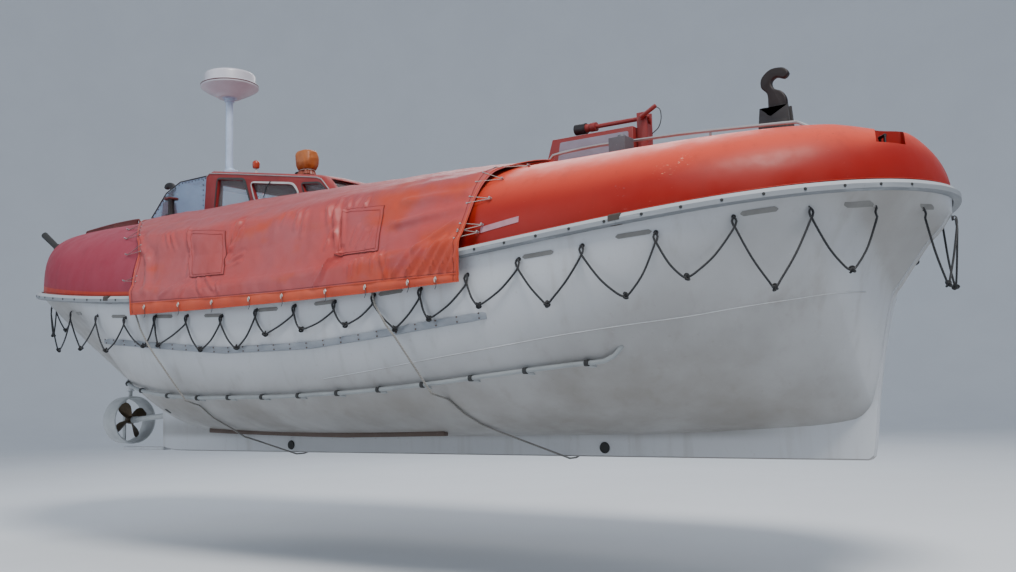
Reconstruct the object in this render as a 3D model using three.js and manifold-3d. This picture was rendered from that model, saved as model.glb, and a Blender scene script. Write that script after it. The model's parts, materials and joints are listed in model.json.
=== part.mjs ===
// A partially enclosed lifeboat, 11.6 m by 4.0 m, in millimetres.
// +X is the bow, +Y port, +Z up. Shapes are worked out from the keel's underside
// and then lowered by LIGHT_DRAFT, so the part's origin is on the centreline at
// the waterline of the empty boat.
import * as THREE from "three";
import { mergeVertices } from "three/addons/utils/BufferGeometryUtils.js";
import Module from "manifold-3d";

const wasm = await Module();
wasm.setup();

const LIGHT_DRAFT = 700;
const HALF_LENGTH = 5740;
const HALF_BEAM = 1935;
const RAIL_PROUD = 62;
const RAIL_HEIGHT = 80;
const SHEER_MID = 1700;
const SHEER_RISE_BOW = 432;
const SHEER_RISE_STERN = 520;
const SHELL = 14;
const GAP = 0.4;
const SIDES = [
  { name: "starboard", s: -1 },
  { name: "port", s: 1 },
];

const COLOUR = {
  hull: [0xdfe3e6, 0.42, 0],
  canopy: [0xc8402c, 0.35, 0],
  cover: [0xd0553f, 0.72, 0],
  grey: [0x9aa3ad, 0.55, 0],
  strake: [0x8f989f, 0.6, 0],
  white: [0xe6e8e8, 0.4, 0],
  brown: [0x4b3b35, 0.7, 0],
  steel: [0x8c9094, 0.35, 0.9],
  black: [0x1c1d20, 0.55, 0],
  bronze: [0x4a3c30, 0.4, 0.9],
  rope: [0x17181b, 0.9, 0],
  paleRope: [0x8b8a84, 0.9, 0],
  red: [0xa83226, 0.45, 0],
  darkRed: [0x5a1714, 0.5, 0],
  glass: [0x8fa6b4, 0.08, 0],
  orange: [0xd4661f, 0.8, 0],
};

const group = new THREE.Group();

function add(name, geometry, look) {
  geometry.translate(0, 0, -LIGHT_DRAFT);
  const [color, roughness, metalness] = COLOUR[look];
  const mesh = new THREE.Mesh(
    geometry,
    new THREE.MeshStandardMaterial({ color, roughness, metalness }),
  );
  mesh.name = name;
  group.add(mesh);
}

// Straight-line reading of a table of [x, value] rows, in rising x.
function table(rows, x) {
  if (x <= rows[0][0]) return rows[0][1];
  for (let i = 1; i < rows.length; i++) {
    const [x0, v0] = rows[i - 1];
    const [x1, v1] = rows[i];
    if (x <= x1) return v0 + ((v1 - v0) * (x - x0)) / (x1 - x0);
  }
  return rows[rows.length - 1][1];
}

// Manifold solids from a geometry, and back.
function solid(geometry) {
  const g = geometry.clone();
  g.deleteAttribute("normal");
  g.deleteAttribute("uv");
  const m = mergeVertices(g, 1e-3);
  return new wasm.Manifold(
    new wasm.Mesh({
      numProp: 3,
      vertProperties: new Float32Array(m.attributes.position.array),
      triVerts: new Uint32Array(m.index.array),
    }),
  );
}

function shapeOf(manifold) {
  const m = manifold.getMesh();
  const v = new Float32Array(m.numVert * 3);
  for (let i = 0; i < m.numVert; i++)
    v.set(m.vertProperties.subarray(i * m.numProp, i * m.numProp + 3), i * 3);
  const g = new THREE.BufferGeometry();
  g.setAttribute("position", new THREE.BufferAttribute(v, 3));
  g.setIndex(new THREE.BufferAttribute(new Uint32Array(m.triVerts), 1));
  return g;
}

const join = (...g) => shapeOf(g.map(solid).reduce((a, b) => a.add(b)));
const within = (geometry, area) => shapeOf(solid(geometry).intersect(solid(area)));
const cut = (a, ...g) => shapeOf(g.reduce((m, b) => m.subtract(solid(b)), solid(a)));

// Skins a row of closed loops of [x, y, z] points and closes both ends: each end
// is fanned from its middle, or for a bent sheet laced from one face to the other.
function loft(loops, sheet = false) {
  const n = loops[0].length;
  const v = loops.flat(2);
  const idx = [];
  for (let i = 0; i + 1 < loops.length; i++)
    for (let j = 0; j < n; j++) {
      const a = i * n + j;
      const b = i * n + ((j + 1) % n);
      idx.push(a, b, a + n, b, b + n, a + n);
    }
  for (const [k, turn] of [[0, 1], [loops.length - 1, 0]]) {
    if (sheet) {
      for (let j = 0; j + 1 < n / 2; j++) {
        const [a, b] = [k * n + j, k * n + j + 1];
        const [c, d] = [k * n + n - 2 - j, k * n + n - 1 - j];
        const faces = turn ? [c, b, a, d, c, a] : [a, b, c, a, c, d];
        idx.push(...(b === c ? faces.slice(3) : faces));
      }
      continue;
    }
    const c = v.length / 3;
    for (let d = 0; d < 3; d++)
      v.push(loops[k].reduce((s, p) => s + p[d], 0) / n);
    for (let j = 0; j < n; j++) {
      const a = k * n + j;
      const b = k * n + ((j + 1) % n);
      if (turn) idx.push(c, b, a);
      else idx.push(c, a, b);
    }
  }
  let volume = 0;
  const p = (i) => new THREE.Vector3(v[3 * i], v[3 * i + 1], v[3 * i + 2]);
  for (let i = 0; i < idx.length; i += 3)
    volume += p(idx[i]).dot(p(idx[i + 1]).cross(p(idx[i + 2])));
  if (volume < 0)
    for (let i = 0; i < idx.length; i += 3)
      [idx[i + 1], idx[i + 2]] = [idx[i + 2], idx[i + 1]];
  const g = new THREE.BufferGeometry();
  g.setAttribute("position", new THREE.Float32BufferAttribute(v, 3));
  g.setIndex(idx);
  return g;
}

// A box between two corners, and a prism from a drawn outline on a plane.
function box(x0, x1, y0, y1, z0, z1) {
  const g = new THREE.BoxGeometry(x1 - x0, y1 - y0, z1 - z0);
  return g.translate((x0 + x1) / 2, (y0 + y1) / 2, (z0 + z1) / 2);
}

// Outline points are [x, z]; the prism runs from y0 to y1.
function sidePrism(outline, y0, y1) {
  return loft([y0, y1].map((y) => outline.map(([x, z]) => [x, y, z])));
}

// The same for an outline with hollows in its edge.
function cutOutline(outline, y0, y1) {
  const shape = new THREE.Shape(outline.map(([x, z]) => new THREE.Vector2(x, z)));
  const g = new THREE.ExtrudeGeometry(shape, { depth: y1 - y0, bevelEnabled: false });
  return g.rotateX(Math.PI / 2).translate(0, y1, 0);
}

// A round bar between two points; a second radius makes a cone.
function bar(a, b, r, r2 = r, sides = 12) {
  const from = new THREE.Vector3(...a);
  const to = new THREE.Vector3(...b);
  const g = new THREE.CylinderGeometry(r2, r, from.distanceTo(to), sides);
  const turn = new THREE.Quaternion().setFromUnitVectors(
    new THREE.Vector3(0, 1, 0),
    to.clone().sub(from).normalize(),
  );
  g.applyQuaternion(turn);
  const mid = from.add(to).multiplyScalar(0.5);
  return g.translate(mid.x, mid.y, mid.z);
}

// A round tube along a smooth path through points.
function tube(points, r, steps, sides = 6, tension = 0.5) {
  const path = new THREE.CatmullRomCurve3(
    points.map((p) => new THREE.Vector3(...p)), false, "catmullrom", tension);
  const ring = new THREE.Shape();
  for (let i = 0; i < sides; i++) {
    const a = (i * 2 * Math.PI) / sides;
    if (i) ring.lineTo(r * Math.cos(a), r * Math.sin(a));
    else ring.moveTo(r, 0);
  }
  ring.closePath();
  return new THREE.ExtrudeGeometry(ring, { steps, extrudePath: path, curveSegments: 1 });
}

// A taut round line straight from point to point.
function tautLine(points, r, sides = 6) {
  const p = points.map((q) => new THREE.Vector3(...q));
  const along = new THREE.Vector3(1, 0, 0);
  return loft(p.map((q, i) => {
    const t = p[Math.min(i + 1, p.length - 1)].clone().sub(p[Math.max(i - 1, 0)]).normalize();
    const u = along.clone().addScaledVector(t, -along.dot(t)).normalize();
    const v = t.clone().cross(u);
    return Array.from({ length: sides }, (_, k) => {
      const a = (k * 2 * Math.PI) / sides;
      return q.clone().addScaledVector(u, r * Math.cos(a)).addScaledVector(v, r * Math.sin(a)).toArray();
    });
  }));
}

// A turned piece: profile rows are [radius, height] along `axis` from `at`.
function turned(profile, at, axis = [0, 0, 1], sides = 24) {
  const g = new THREE.LatheGeometry(profile.map(([r, h]) => new THREE.Vector2(r, h)), sides);
  const turn = new THREE.Quaternion().setFromUnitVectors(
    new THREE.Vector3(0, 1, 0),
    new THREE.Vector3(...axis).normalize(),
  );
  return g.applyQuaternion(turn).translate(...at);
}

// Hull lines.
// Half breadth of a plan curve with blunt round ends.
function breadth(x, half = HALF_BEAM, length = HALF_LENGTH) {
  const t = Math.min(Math.abs(x) / length, 1);
  return half * Math.pow(Math.max(1 - Math.pow(t, 5.4), 0), 0.575);
}

function sheer(x) {
  const t = Math.abs(x) / HALF_LENGTH;
  return x > 0
    ? SHEER_MID + SHEER_RISE_BOW * Math.pow(t, 1.58)
    : SHEER_MID + SHEER_RISE_STERN * Math.pow(t, 2.05);
}

const HULL_DROP = 30;
const END_SHARES = [0, 0.15, 0.3, 0.42, 0.52, 0.61, 0.68, 0.745, 0.8, 0.85, 0.875, 0.9,
  0.915, 0.93, 0.95, 0.97, 0.983, 0.992, 0.998, 0.9997];
const STATIONS = [
  ...END_SHARES.slice(1).reverse().map((t) => -t * HALF_LENGTH),
  ...END_SHARES.map((t) => t * HALF_LENGTH),
  -4210, -4200,
].sort((a, b) => a - b);
// The edge of the hull runs straight between stations, and so does all that follows it.
const EDGE_TOP = STATIONS.map((x) => [x, sheer(x) - HULL_DROP]);
const EDGE_OUT = STATIONS.map((x) => [x, breadth(x)]);
const hullTop = (x) => table(EDGE_TOP, x);
const edgeOut = (x) => table(EDGE_OUT, x);

const KEEL_UNDERSIDE = [
  [-5740, 1640], [-5700, 1440], [-5500, 1270], [-5050, 1040], [-4650, 760],
  [-4210, 480], [-4200, 40], [-3700, 0], [4985, 0], [5030, 30], [5080, 400],
  [5130, 700], [5200, 1080], [5250, 1290], [5330, 1400], [5430, 1540],
  [5560, 1710], [5660, 1810], [5740, 1930],
];
const KEEL_HALF_WIDTH = [
  [-5740, 20], [-5500, 55], [-4210, 70], [-3500, 80], [4000, 80], [4900, 50], [5250, 40], [5740, 22],
];
const BOTTOM_HEIGHT = [
  [-5740, 1700], [-5700, 1480], [-5500, 1300], [-5050, 1065], [-4650, 800],
  [-4200, 530], [-4000, 450], [-3000, 300], [-2000, 225], [0, 200], [3000, 215],
  [4200, 260], [4900, 330], [5020, 420], [5080, 560], [5130, 790], [5200, 1120],
  [5250, 1320], [5330, 1430], [5430, 1565], [5560, 1730], [5660, 1835], [5740, 1950],
];
const FULLNESS = [
  [-5740, 1.1], [-5000, 1.1], [-4500, 1.06], [-3730, 1.09], [-3370, 1.3],
  [-3110, 1.57], [-2850, 1.9], [-2000, 2.75], [0, 3.05], [1800, 2.9], [2800, 2.45], [3600, 1.9],
  [4300, 1.45], [4900, 1.12], [5300, 0.95], [5740, 0.9],
];
const SECTION_STEPS = 10;

// One side of the hull's section at x, from the keel's foot up to the deck edge.
function halfSection(x, proud = 0) {
  const keel = table(KEEL_HALF_WIDTH, x);
  const foot = table(KEEL_UNDERSIDE, x);
  const top = hullTop(x);
  const low = Math.min(table(BOTTOM_HEIGHT, x), top - 60);
  const wide = Math.max(edgeOut(x), keel + 8);
  const e = 2 / table(FULLNESS, x);
  const points = [[keel + proud, Math.min(foot, low - 6) - proud]];
  for (let i = 0; i <= SECTION_STEPS; i++) {
    const a = (i / SECTION_STEPS) * (Math.PI / 2);
    points.push([
      keel + (wide - keel) * Math.pow(Math.sin(a), e) + proud,
      low + (top - low) * (1 - Math.pow(Math.cos(a), e)) - proud * Math.cos(a),
    ]);
  }
  return points;
}

// How far out the hull's side is at a height, for pieces that lie on it.
function sideAt(x, z) {
  const pts = halfSection(x);
  for (let i = 2; i < pts.length; i++)
    if (pts[i][1] >= z) {
      const t = (z - pts[i - 1][1]) / Math.max(pts[i][1] - pts[i - 1][1], 1e-6);
      return pts[i - 1][0] + (pts[i][0] - pts[i - 1][0]) * Math.max(t, 0);
    }
  return pts[pts.length - 1][0];
}

function hullLoop(x, proud = 0) {
  const half = halfSection(x, proud);
  return [
    ...half.map(([y, z]) => [x, y, z]),
    ...half.slice().reverse().map(([y, z]) => [x, -y, z]),
  ];
}
add("hull", loft(STATIONS.map((x) => hullLoop(x))), "hull");

// The flat bar under the open gap aft of the keel, below the propeller.
add("keel_shoe", loft([[-5150, 34], [-4204, 60]].map(([x, w]) => [
  [x, -w, 2], [x, w, 2], [x, w, 44], [x, -w, 44],
])), "hull");

// Canopies: round-backed shells that stand on the hull's edge.
const CROWN = [
  [-5740, 2420], [-5700, 2600], [-5620, 2730], [-5480, 2815], [-5200, 2892],
  [-4600, 2930], [-3000, 2925], [2000, 2760], [3000, 2725], [4500, 2715],
  [5000, 2695], [5150, 2665], [5300, 2625], [5480, 2590], [5600, 2470], [5680, 2330], [5740, 2160],
];
const ROUNDNESS = [[-5740, 4], [-5300, 3.8], [-4500, 3.1], [-3000, 2.6], [0, 2.5], [5740, 2.5]];
// How far in from the hull's edge they stand, by x.
const CANOPY_IN = [[-5740, 8], [-5000, 20], [-3500, 55]];
const CANOPY_STEPS = 8;
const BOW_CANOPY_AFT = 2150;
const STERN_CANOPY_FORE = -2300;
const TIP = 0.998 * HALF_LENGTH;

// Half width at the foot, height of the foot, rise and curve of the covering at x.
function coverForm(x, out) {
  const base = hullTop(x) + GAP;
  return {
    w: Math.max(edgeOut(x) - table(CANOPY_IN, x) + out, 12),
    base,
    h: Math.max(table(CROWN, x) + out - base, 12),
    e: 2 / table(ROUNDNESS, x),
  };
}

// Height of the covering's back at x and y, `out` above the canopies.
function backAt(x, y, out = 0) {
  const { w, base, h, e } = coverForm(x, out);
  const c = Math.pow(Math.min(Math.abs(y) / w, 1), 1 / e);
  return base + h * Math.pow(Math.sqrt(Math.max(1 - c * c, 0)), e);
}

function canopyLoop(x, out, drop) {
  const { w, base, h, e } = coverForm(x, out);
  const side = [];
  for (let i = 0; i <= CANOPY_STEPS; i++) {
    const a = (i / CANOPY_STEPS) * (Math.PI / 2);
    side.push([w * Math.pow(Math.cos(a), e), base + h * Math.pow(Math.sin(a), e)]);
  }
  side[0][1] -= drop;
  return [
    ...side.map(([y, z]) => [x, -y, z]),
    ...side.slice(0, -1).reverse().map(([y, z]) => [x, y, z]),
  ];
}

function stationsBetween(a, b) {
  const lo = Math.min(a, b);
  const hi = Math.max(a, b);
  return [lo, ...STATIONS.filter((x) => x > lo + 5 && x < hi - 5), hi];
}

const canopyBody = (open, tip) => loft(stationsBetween(open, tip).map((x) => canopyLoop(x, 0, 0)));

function canopy(open, tip) {
  const s = Math.sign(tip - open);
  const outer = canopyBody(open, tip);
  const inner = loft(stationsBetween(open - s * 40, tip - s * 60)
    .map((x) => canopyLoop(x, -SHELL, 30)));
  return cut(outer, inner);
}

// A pocket cut into each forward shoulder: its corners in plan, as x, distance out,
// and which way each moves when the pocket grows.
const POCKET_FLOOR = 2415;
const POCKET_PLAN = [[5250, 250, -1, -1], [5430, 860, -1, 1], [5620, 760, 1, 1], [5470, 230, 1, -1]];
const pocket = (s, grow) => loft([POCKET_FLOOR - grow, 2900].map((z) =>
  POCKET_PLAN.map(([x, y, ax, ay]) => [x + ax * grow, s * (y + ay * grow), z])));
const bowBody = canopyBody(BOW_CANOPY_AFT, TIP);
add("bow_canopy", cut(join(canopy(BOW_CANOPY_AFT, TIP),
  ...SIDES.map(({ s }) => within(pocket(s, SHELL), bowBody))),
...SIDES.map(({ s }) => pocket(s, 0))), "canopy");
add("stern_canopy", canopy(STERN_CANOPY_FORE, -TIP), "canopy");

// The stiff strip along the top, and the fabric that laces to it.
const ROOF_HALF = 760;
const ROOF_UNDER = 6;
// How far the plate's top stands above the canopies' line, by x.
const ROOF_OVER = [[-3000, 34], [-1850, 48], [-600, 62], [1500, 62], [2400, 38]];
const ROOF_AFT = -3700;
const ROOF_FORE = 2480;
const WELL = { x0: -2150, x1: -850, half: 520 };

// A cutter has no underside of its own: it runs down to below the edge of the plate.
function plateLoop(x, more, half, cutter) {
  const over = table(ROOF_OVER, x) + more;
  const ys = [-1, -0.6, -0.2, 0.2, 0.6, 1].map((k) => k * ROOF_HALF);
  if (half > ROOF_HALF) ys.splice(0, ys.length, -half, ...ys, half);
  return [
    ...ys.map((y) => [x, y, backAt(x, y, over)]),
    ...ys.slice().reverse().map((y) => [x, y, cutter ? 1900 : backAt(x, y, ROOF_UNDER)]),
  ];
}
const ROOF_STATIONS = stationsBetween(ROOF_AFT, ROOF_FORE);
const roofBlank = (more, half, cutter) =>
  loft(ROOF_STATIONS.map((x) => plateLoop(x, more, half, cutter)), true);
add("roof_deck", cut(roofBlank(0, ROOF_HALF, false),
  box(WELL.x0, WELL.x1, -WELL.half, WELL.half, 2500, 3200)), "canopy");

const COVER = { low: 2, thick: 8, hemOut: 2022, laceGap: 6 };
// Heights of the fabric's lower edge and of the seam above it, by x.
const HEM_LINE = [[-3600, 1556], [-2060, 1550], [-700, 1522], [300, 1510], [1300, 1508], [2550, 1520]];
const SEAM_LINE = [[-3600, 1720], [-2060, 1706], [-700, 1656], [300, 1634], [1300, 1630], [2550, 1612]];
const COVER_COLUMNS = [0, 0.06, 0.14, 0.24, 0.36, 0.48, 0.6, 0.72, 0.84, 0.93, 1];
// Aft edge of the fabric: share of the way from hem to ridge, x.
const COVER_AFT_EDGE = [[0, -2080], [0.2, -2120], [0.45, -2480], [0.7, -2950], [1, -3550]];
const COVER_FORE_EDGE = [[0, 2390], [0.5, 2410], [0.8, 2470], [1, 2550]];

// Points [y, z] across the fabric from the hem outside the rail to its top edge.
function coverProfile(x, back) {
  const { w, base, h, e } = coverForm(x, table(ROOF_OVER, x) - COVER.low - back);
  const hem = COVER.hemOut - back;
  const points = [
    [hem, table(HEM_LINE, x)], [hem + 3, table(SEAM_LINE, x)], [hem - 2, sheer(x) + 25],
    [hem - 70, sheer(x) + 150],
  ];
  const top = Math.acos(Math.pow((ROOF_HALF + COVER.laceGap) / w, 1 / e));
  const low = 0.42;
  for (let i = 0; i <= 8; i++) {
    const a = low + ((top - low) * i) / 8;
    points.push([w * Math.pow(Math.cos(a), e), base + h * Math.pow(Math.sin(a), e)]);
  }
  return points;
}

function cover(s) {
  const n = 13;
  const at = (i, k) => {
    const u = i / (n - 1);
    const x0 = table(COVER_AFT_EDGE, u);
    return x0 + (table(COVER_FORE_EDGE, u) - x0) * k;
  };
  const row = (k, back) => Array.from({ length: n }, (_, i) => {
    const x = at(i, k);
    const [y, z] = coverProfile(x, back)[i];
    return [x, s * y, z];
  });
  return loft(COVER_COLUMNS.map((k) => [...row(k, 0), ...row(k, COVER.thick).reverse()]), true);
}
for (const { name, s } of SIDES) add("cover_" + name, cover(s), "cover");

// Rubbing strake round the boat's edge, in four lengths.
const RAIL_JOINT = [3760, -2600];
const RAIL_SECTION = [[0, -1], [0.45, -1], [1, -0.2], [1, 0.7], [0.75, 1], [0, 1]];

function edgePath(xs, s) {
  return xs.map((x) => [x, s * edgeOut(x), sheer(x) - RAIL_HEIGHT / 2]);
}

function alongEdge(path, section, proud, half, gap) {
  const normal = (p, q) => {
    const l = Math.hypot(q[0] - p[0], q[1] - p[1]);
    return [(q[1] - p[1]) / l, -(q[0] - p[0]) / l];
  };
  return loft(path.map((p, i) => {
    const a = normal(path[Math.max(i - 1, 0)], path[Math.max(i, 1)]);
    const b = normal(path[Math.min(i, path.length - 2)], path[Math.min(i + 1, path.length - 1)]);
    const k = 1 / (1 + a[0] * b[0] + a[1] * b[1]);
    const n = [(a[0] + b[0]) * k, (a[1] + b[1]) * k];
    return section.map(([out, up]) => {
      const d = gap + out * proud;
      return [p[0] + n[0] * d, p[1] + n[1] * d, p[2] + up * half];
    });
  }));
}
const bowStations = stationsBetween(RAIL_JOINT[0] + 1, STATIONS[STATIONS.length - 1]);
const sternStations = stationsBetween(STATIONS[0], RAIL_JOINT[1] - 1);
const rail = (path) => alongEdge(path, RAIL_SECTION, RAIL_PROUD, RAIL_HEIGHT / 2, GAP);
add("rail_bow", rail([...edgePath(bowStations, -1),
  ...edgePath(bowStations.slice().reverse(), 1)]), "grey");
add("rail_stern", rail([...edgePath(sternStations, 1).reverse(),
  ...edgePath(sternStations, -1)]), "grey");
const midStations = stationsBetween(RAIL_JOINT[1] + 1, RAIL_JOINT[0] - 1);
add("rail_starboard", rail(edgePath(midStations, -1)), "grey");
add("rail_port", rail(edgePath(midStations, 1).reverse()), "grey");

// Strakes, grab pipes and bilge bars on the hull's sides.
const STRAKE_LINE = [[-2900, 1330], [-2300, 1270], [-1500, 1190], [-700, 1115], [500, 1100],
  [1200, 1140], [1900, 1195], [2550, 1245]];
const STRAKE = { half: 42, thick: 30 };
const PIPE_LINE = [[-3560, 945], [-3400, 920], [-2880, 850], [-2370, 760], [-1850, 690], [-1340, 655],
  [0, 640], [1000, 662], [1900, 712], [3000, 806], [3440, 842]];
const PIPE = { r: 19, off: 52, x0: -3540, x1: 3440, clampStep: 513, clampHalf: 24 };
const BILGE_BAR = { x0: -2010, x1: 1400, y: 1000, wide: 34, deep: 46 };

function hullBottomAt(x, y) {
  const pts = halfSection(x);
  for (let i = 2; i < pts.length; i++)
    if (pts[i][0] >= y) {
      const t = (y - pts[i - 1][0]) / (pts[i][0] - pts[i - 1][0]);
      return pts[i - 1][1] + (pts[i][1] - pts[i - 1][1]) * t;
    }
  return hullTop(x);
}

const hullSolid = solid(loft(STATIONS.map((x) => hullLoop(x, GAP))));
const offHull = (geometry) => shapeOf(solid(geometry).subtract(hullSolid));

// A strip that lies on the hull: straight rows from inside the skin, cut back to it.
function strake(s) {
  const xs = Array.from({ length: 23 }, (_, i) => -2900 + (i * 5450) / 22);
  return offHull(loft(xs.map((x) => {
    const z = table(STRAKE_LINE, x);
    const y = sideAt(x, z);
    const taper = Math.min(1, Math.min(x + 2950, 2600 - x) / 120);
    return [[-40, -1], [STRAKE.thick * taper, -0.7], [STRAKE.thick * taper, 0.7], [-40, 1]]
      .map(([out, up]) => [x, s * (y + out), z + up * STRAKE.half]);
  })));
}

function grabPipe(s) {
  const pipeAt = (x) => {
    const z = table(PIPE_LINE, x);
    return [x, s * (sideAt(x, z) + PIPE.off), z];
  };
  const xs = Array.from({ length: 16 }, (_, i) => PIPE.x0 + (i * (PIPE.x1 - PIPE.x0)) / 15);
  const end = pipeAt(PIPE.x1);
  const inward = [PIPE.x1 + 140, s * (sideAt(PIPE.x1 + 150, end[2] + 110) - 10), end[2] + 110];
  const path = [...xs.map(pipeAt), [PIPE.x1 + 90, end[1], end[2] + 38], inward];
  const parts = [tube(path, PIPE.r, 30, 6)];
  for (let x = PIPE.x1 - 137; x > PIPE.x0; x -= PIPE.clampStep) {
    const [, y, z] = pipeAt(x);
    const outer = y + s * PIPE.r * 0.4;
    const inner = s * (sideAt(x, z) - 45);
    parts.push(loft([-1, 1].map((k) => [
      [outer, -26], [outer, 26], [inner, 34], [inner, -34],
    ].map(([yy, dz]) => [x + k * PIPE.clampHalf, yy, z + dz]))));
  }
  return offHull(join(...parts));
}

function bilgeBar(s) {
  const xs = Array.from({ length: 9 }, (_, i) =>
    BILGE_BAR.x0 + (i * (BILGE_BAR.x1 - BILGE_BAR.x0)) / 8);
  return offHull(loft(xs.map((x) => {
    const z = hullBottomAt(x, BILGE_BAR.y);
    return [[-1, -BILGE_BAR.deep], [1, -BILGE_BAR.deep], [1, 60], [-1, 60]]
      .map(([k, dz]) => [x, s * BILGE_BAR.y + k * BILGE_BAR.wide, z + dz]);
  })));
}

for (const { name, s } of SIDES) {
  add("strake_" + name, strake(s), "strake");
  add("grab_pipe_" + name, grabPipe(s), "white");
  add("bilge_bar_" + name, bilgeBar(s), "brown");
}

// Ropes.
// A line drawn tight under the keel from rail to rail.
// Down the side it passes LINE_SIDE's points (distance out, height) at its own x's; then
// its rows are x, distance out and how far below the hull's bottom.
const LINE_SIDE = [[1990, 1570], [1991, 1400], [1984, 1215], [1978, 1110], [1794, 655], [1788, 630]];
const KEEL_LINES = [
  { name: "keel_line_fore", side: [1385, 1440, 1560, 1655, 1870, 1880], keel: 2165,
    under: [[1915, 1600, 20], [1960, 1440, 20], [2000, 1260, 20], [2040, 1060, 20]] },
  { name: "keel_line_aft", side: [-2030, -1940, -1800, -1700, -1450, -1440], keel: -1640,
    under: [[-1420, 1620, 28], [-1400, 1460, 28], [-1385, 1240, 28], [-1380, 1050, 72], [-1410, 950, 70]] },
];
const LINE_R = 9;
for (const { name, side, under, keel } of KEEL_LINES) {
  const at = (s) => [
    ...LINE_SIDE.map(([y, z], i) => [side[i], s * y, z]),
    ...under.map(([x, y, below]) => [x, s * y, hullBottomAt(x, y) - below]),
    [keel, s * 104, -8], [keel, s * 60, -20],
  ];
  add(name, tautLine([...at(-1), ...at(1).reverse()], LINE_R), "paleRope");
}

// Grab lines hang in bights from eyes under the rubbing strake. Rows: the eye's x, its drop
// below the strake's top, then the next bight's share of the way on and its own drop.
const GRAB_SIDE = [
  [-5600, 190, 0.5, 520], [-5250, 190, 0.5, 560], [-4870, 195, 0.46, 690], [-3762, 200, 0.45, 605],
  [-2894, 223, 0.39, 598], [-2300, 234, 0.66, 534], [-1749, 221, 0.14, 520], [-1217, 229, 0.43, 575],
  [-672, 251, 0.48, 574], [-155, 224, 0.27, 465], [378, 228, 0.2, 456], [900, 247, 0.3, 470],
  [1379, 247, 0.48, 572], [1912, 271, 0.2, 532], [2406, 228, 0.24, 494], [2908, 187, 0.45, 583],
  [3469, 182, 0.58, 619], [4042, 190, 0.38, 552], [4577, 168, 0.48, 711], [5037, 167, 0.56, 629],
  [5366, 173, 0, 0],
];
const PORT_LAST_DROP = 390;
const ROPE = { r: 8, off: 26, shoulder: 0.8, steps: 110 };
const eyeAt = (x, drop, s) => [x, s * (sideAt(x, sheer(x) - drop) + ROPE.off), sheer(x) - drop];
// From eye a, a bight down to `drop` and up to eye b, without b itself.
function bight(a, b, share, drop) {
  const between = (k, z) => [a[0] + (b[0] - a[0]) * k, a[1] + (b[1] - a[1]) * k, z];
  const low = sheer(a[0] + (b[0] - a[0]) * share) - drop;
  return [a, between(share * 0.5, a[2] + (low - a[2]) * ROPE.shoulder), between(share, low),
    between((1 + share) * 0.5, b[2] + (low - b[2]) * ROPE.shoulder)];
}
for (const { name, s } of SIDES) {
  const eyes = GRAB_SIDE.map(([x, drop]) => eyeAt(x, drop, s));
  const hangs = GRAB_SIDE.map(([, , , drop], i) => (s > 0 && i === GRAB_SIDE.length - 2 ? PORT_LAST_DROP : drop));
  const points = eyes.slice(0, -1).flatMap((e, i) => bight(e, eyes[i + 1], GRAB_SIDE[i][2], hangs[i]));
  add("grab_line_" + name, tube([...points, eyes[eyes.length - 1]], ROPE.r, ROPE.steps, 5), "rope");
}
// A short line of its own goes round the stem.
const STEM_EYE = [HALF_LENGTH + 28, 0, 1889];
const bowEyes = SIDES.map(({ s }) => eyeAt(5602, 182, s));
add("grab_line_bow", tube([...bight(bowEyes[0], STEM_EYE, 0.6, 766), ...bight(STEM_EYE, bowEyes[1], 0.4, 766),
  bowEyes[1]], ROPE.r, 20, 5), "rope");

// Propeller and steering nozzle.
const SHAFT = { x: -5050, z: 404, tubeR: 34 };
const BLADES = 4;
const NOZZLE = { inner: 296, outer: 328, fore: 125, aft: 150, pivotX: -5050 };

// Sections across a blade, from the hub out.
const BLADE_ROWS = [
  { r: 40, chord: 84, pitch: 62, thick: 20 }, { r: 80, chord: 120, pitch: 52, thick: 17 },
  { r: 130, chord: 150, pitch: 43, thick: 14 }, { r: 180, chord: 168, pitch: 36, thick: 11 },
  { r: 225, chord: 150, pitch: 31, thick: 9 }, { r: 256, chord: 90, pitch: 27, thick: 6 },
];
const BLADE_SECTION = [[-0.5, -0.25], [-0.2, -0.5], [0.2, -0.5], [0.5, -0.25], [0.5, 0.25],
  [0.2, 0.5], [-0.2, 0.5], [-0.5, 0.25]];

function blade(angle) {
  const g = loft(BLADE_ROWS.map(({ r, chord, pitch, thick }) => {
    const p = (pitch * Math.PI) / 180;
    return BLADE_SECTION.map(([c, d]) => [
      c * chord * Math.sin(p) + d * thick * Math.cos(p),
      c * chord * Math.cos(p) - d * thick * Math.sin(p),
      r,
    ]);
  }));
  return g.rotateX(angle).translate(SHAFT.x, 0, SHAFT.z);
}
const hub = turned([[0, -90], [26, -86], [50, -52], [56, 0], [52, 60], [0, 60]],
  [SHAFT.x, 0, SHAFT.z], [1, 0, 0], 20);
add("propeller", join(hub, ...Array.from({ length: BLADES }, (_, i) =>
  blade((i * 2 * Math.PI) / BLADES + 0.5))), "bronze");

add("stern_tube", offHull(join(
  bar([SHAFT.x + 74, 0, SHAFT.z], [-4100, 0, SHAFT.z + 60], SHAFT.tubeR, 38, 18),
  bar([SHAFT.x + 70, 0, SHAFT.z], [SHAFT.x + 170, 0, SHAFT.z + 4], 44, 44, 18))), "white");

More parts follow.
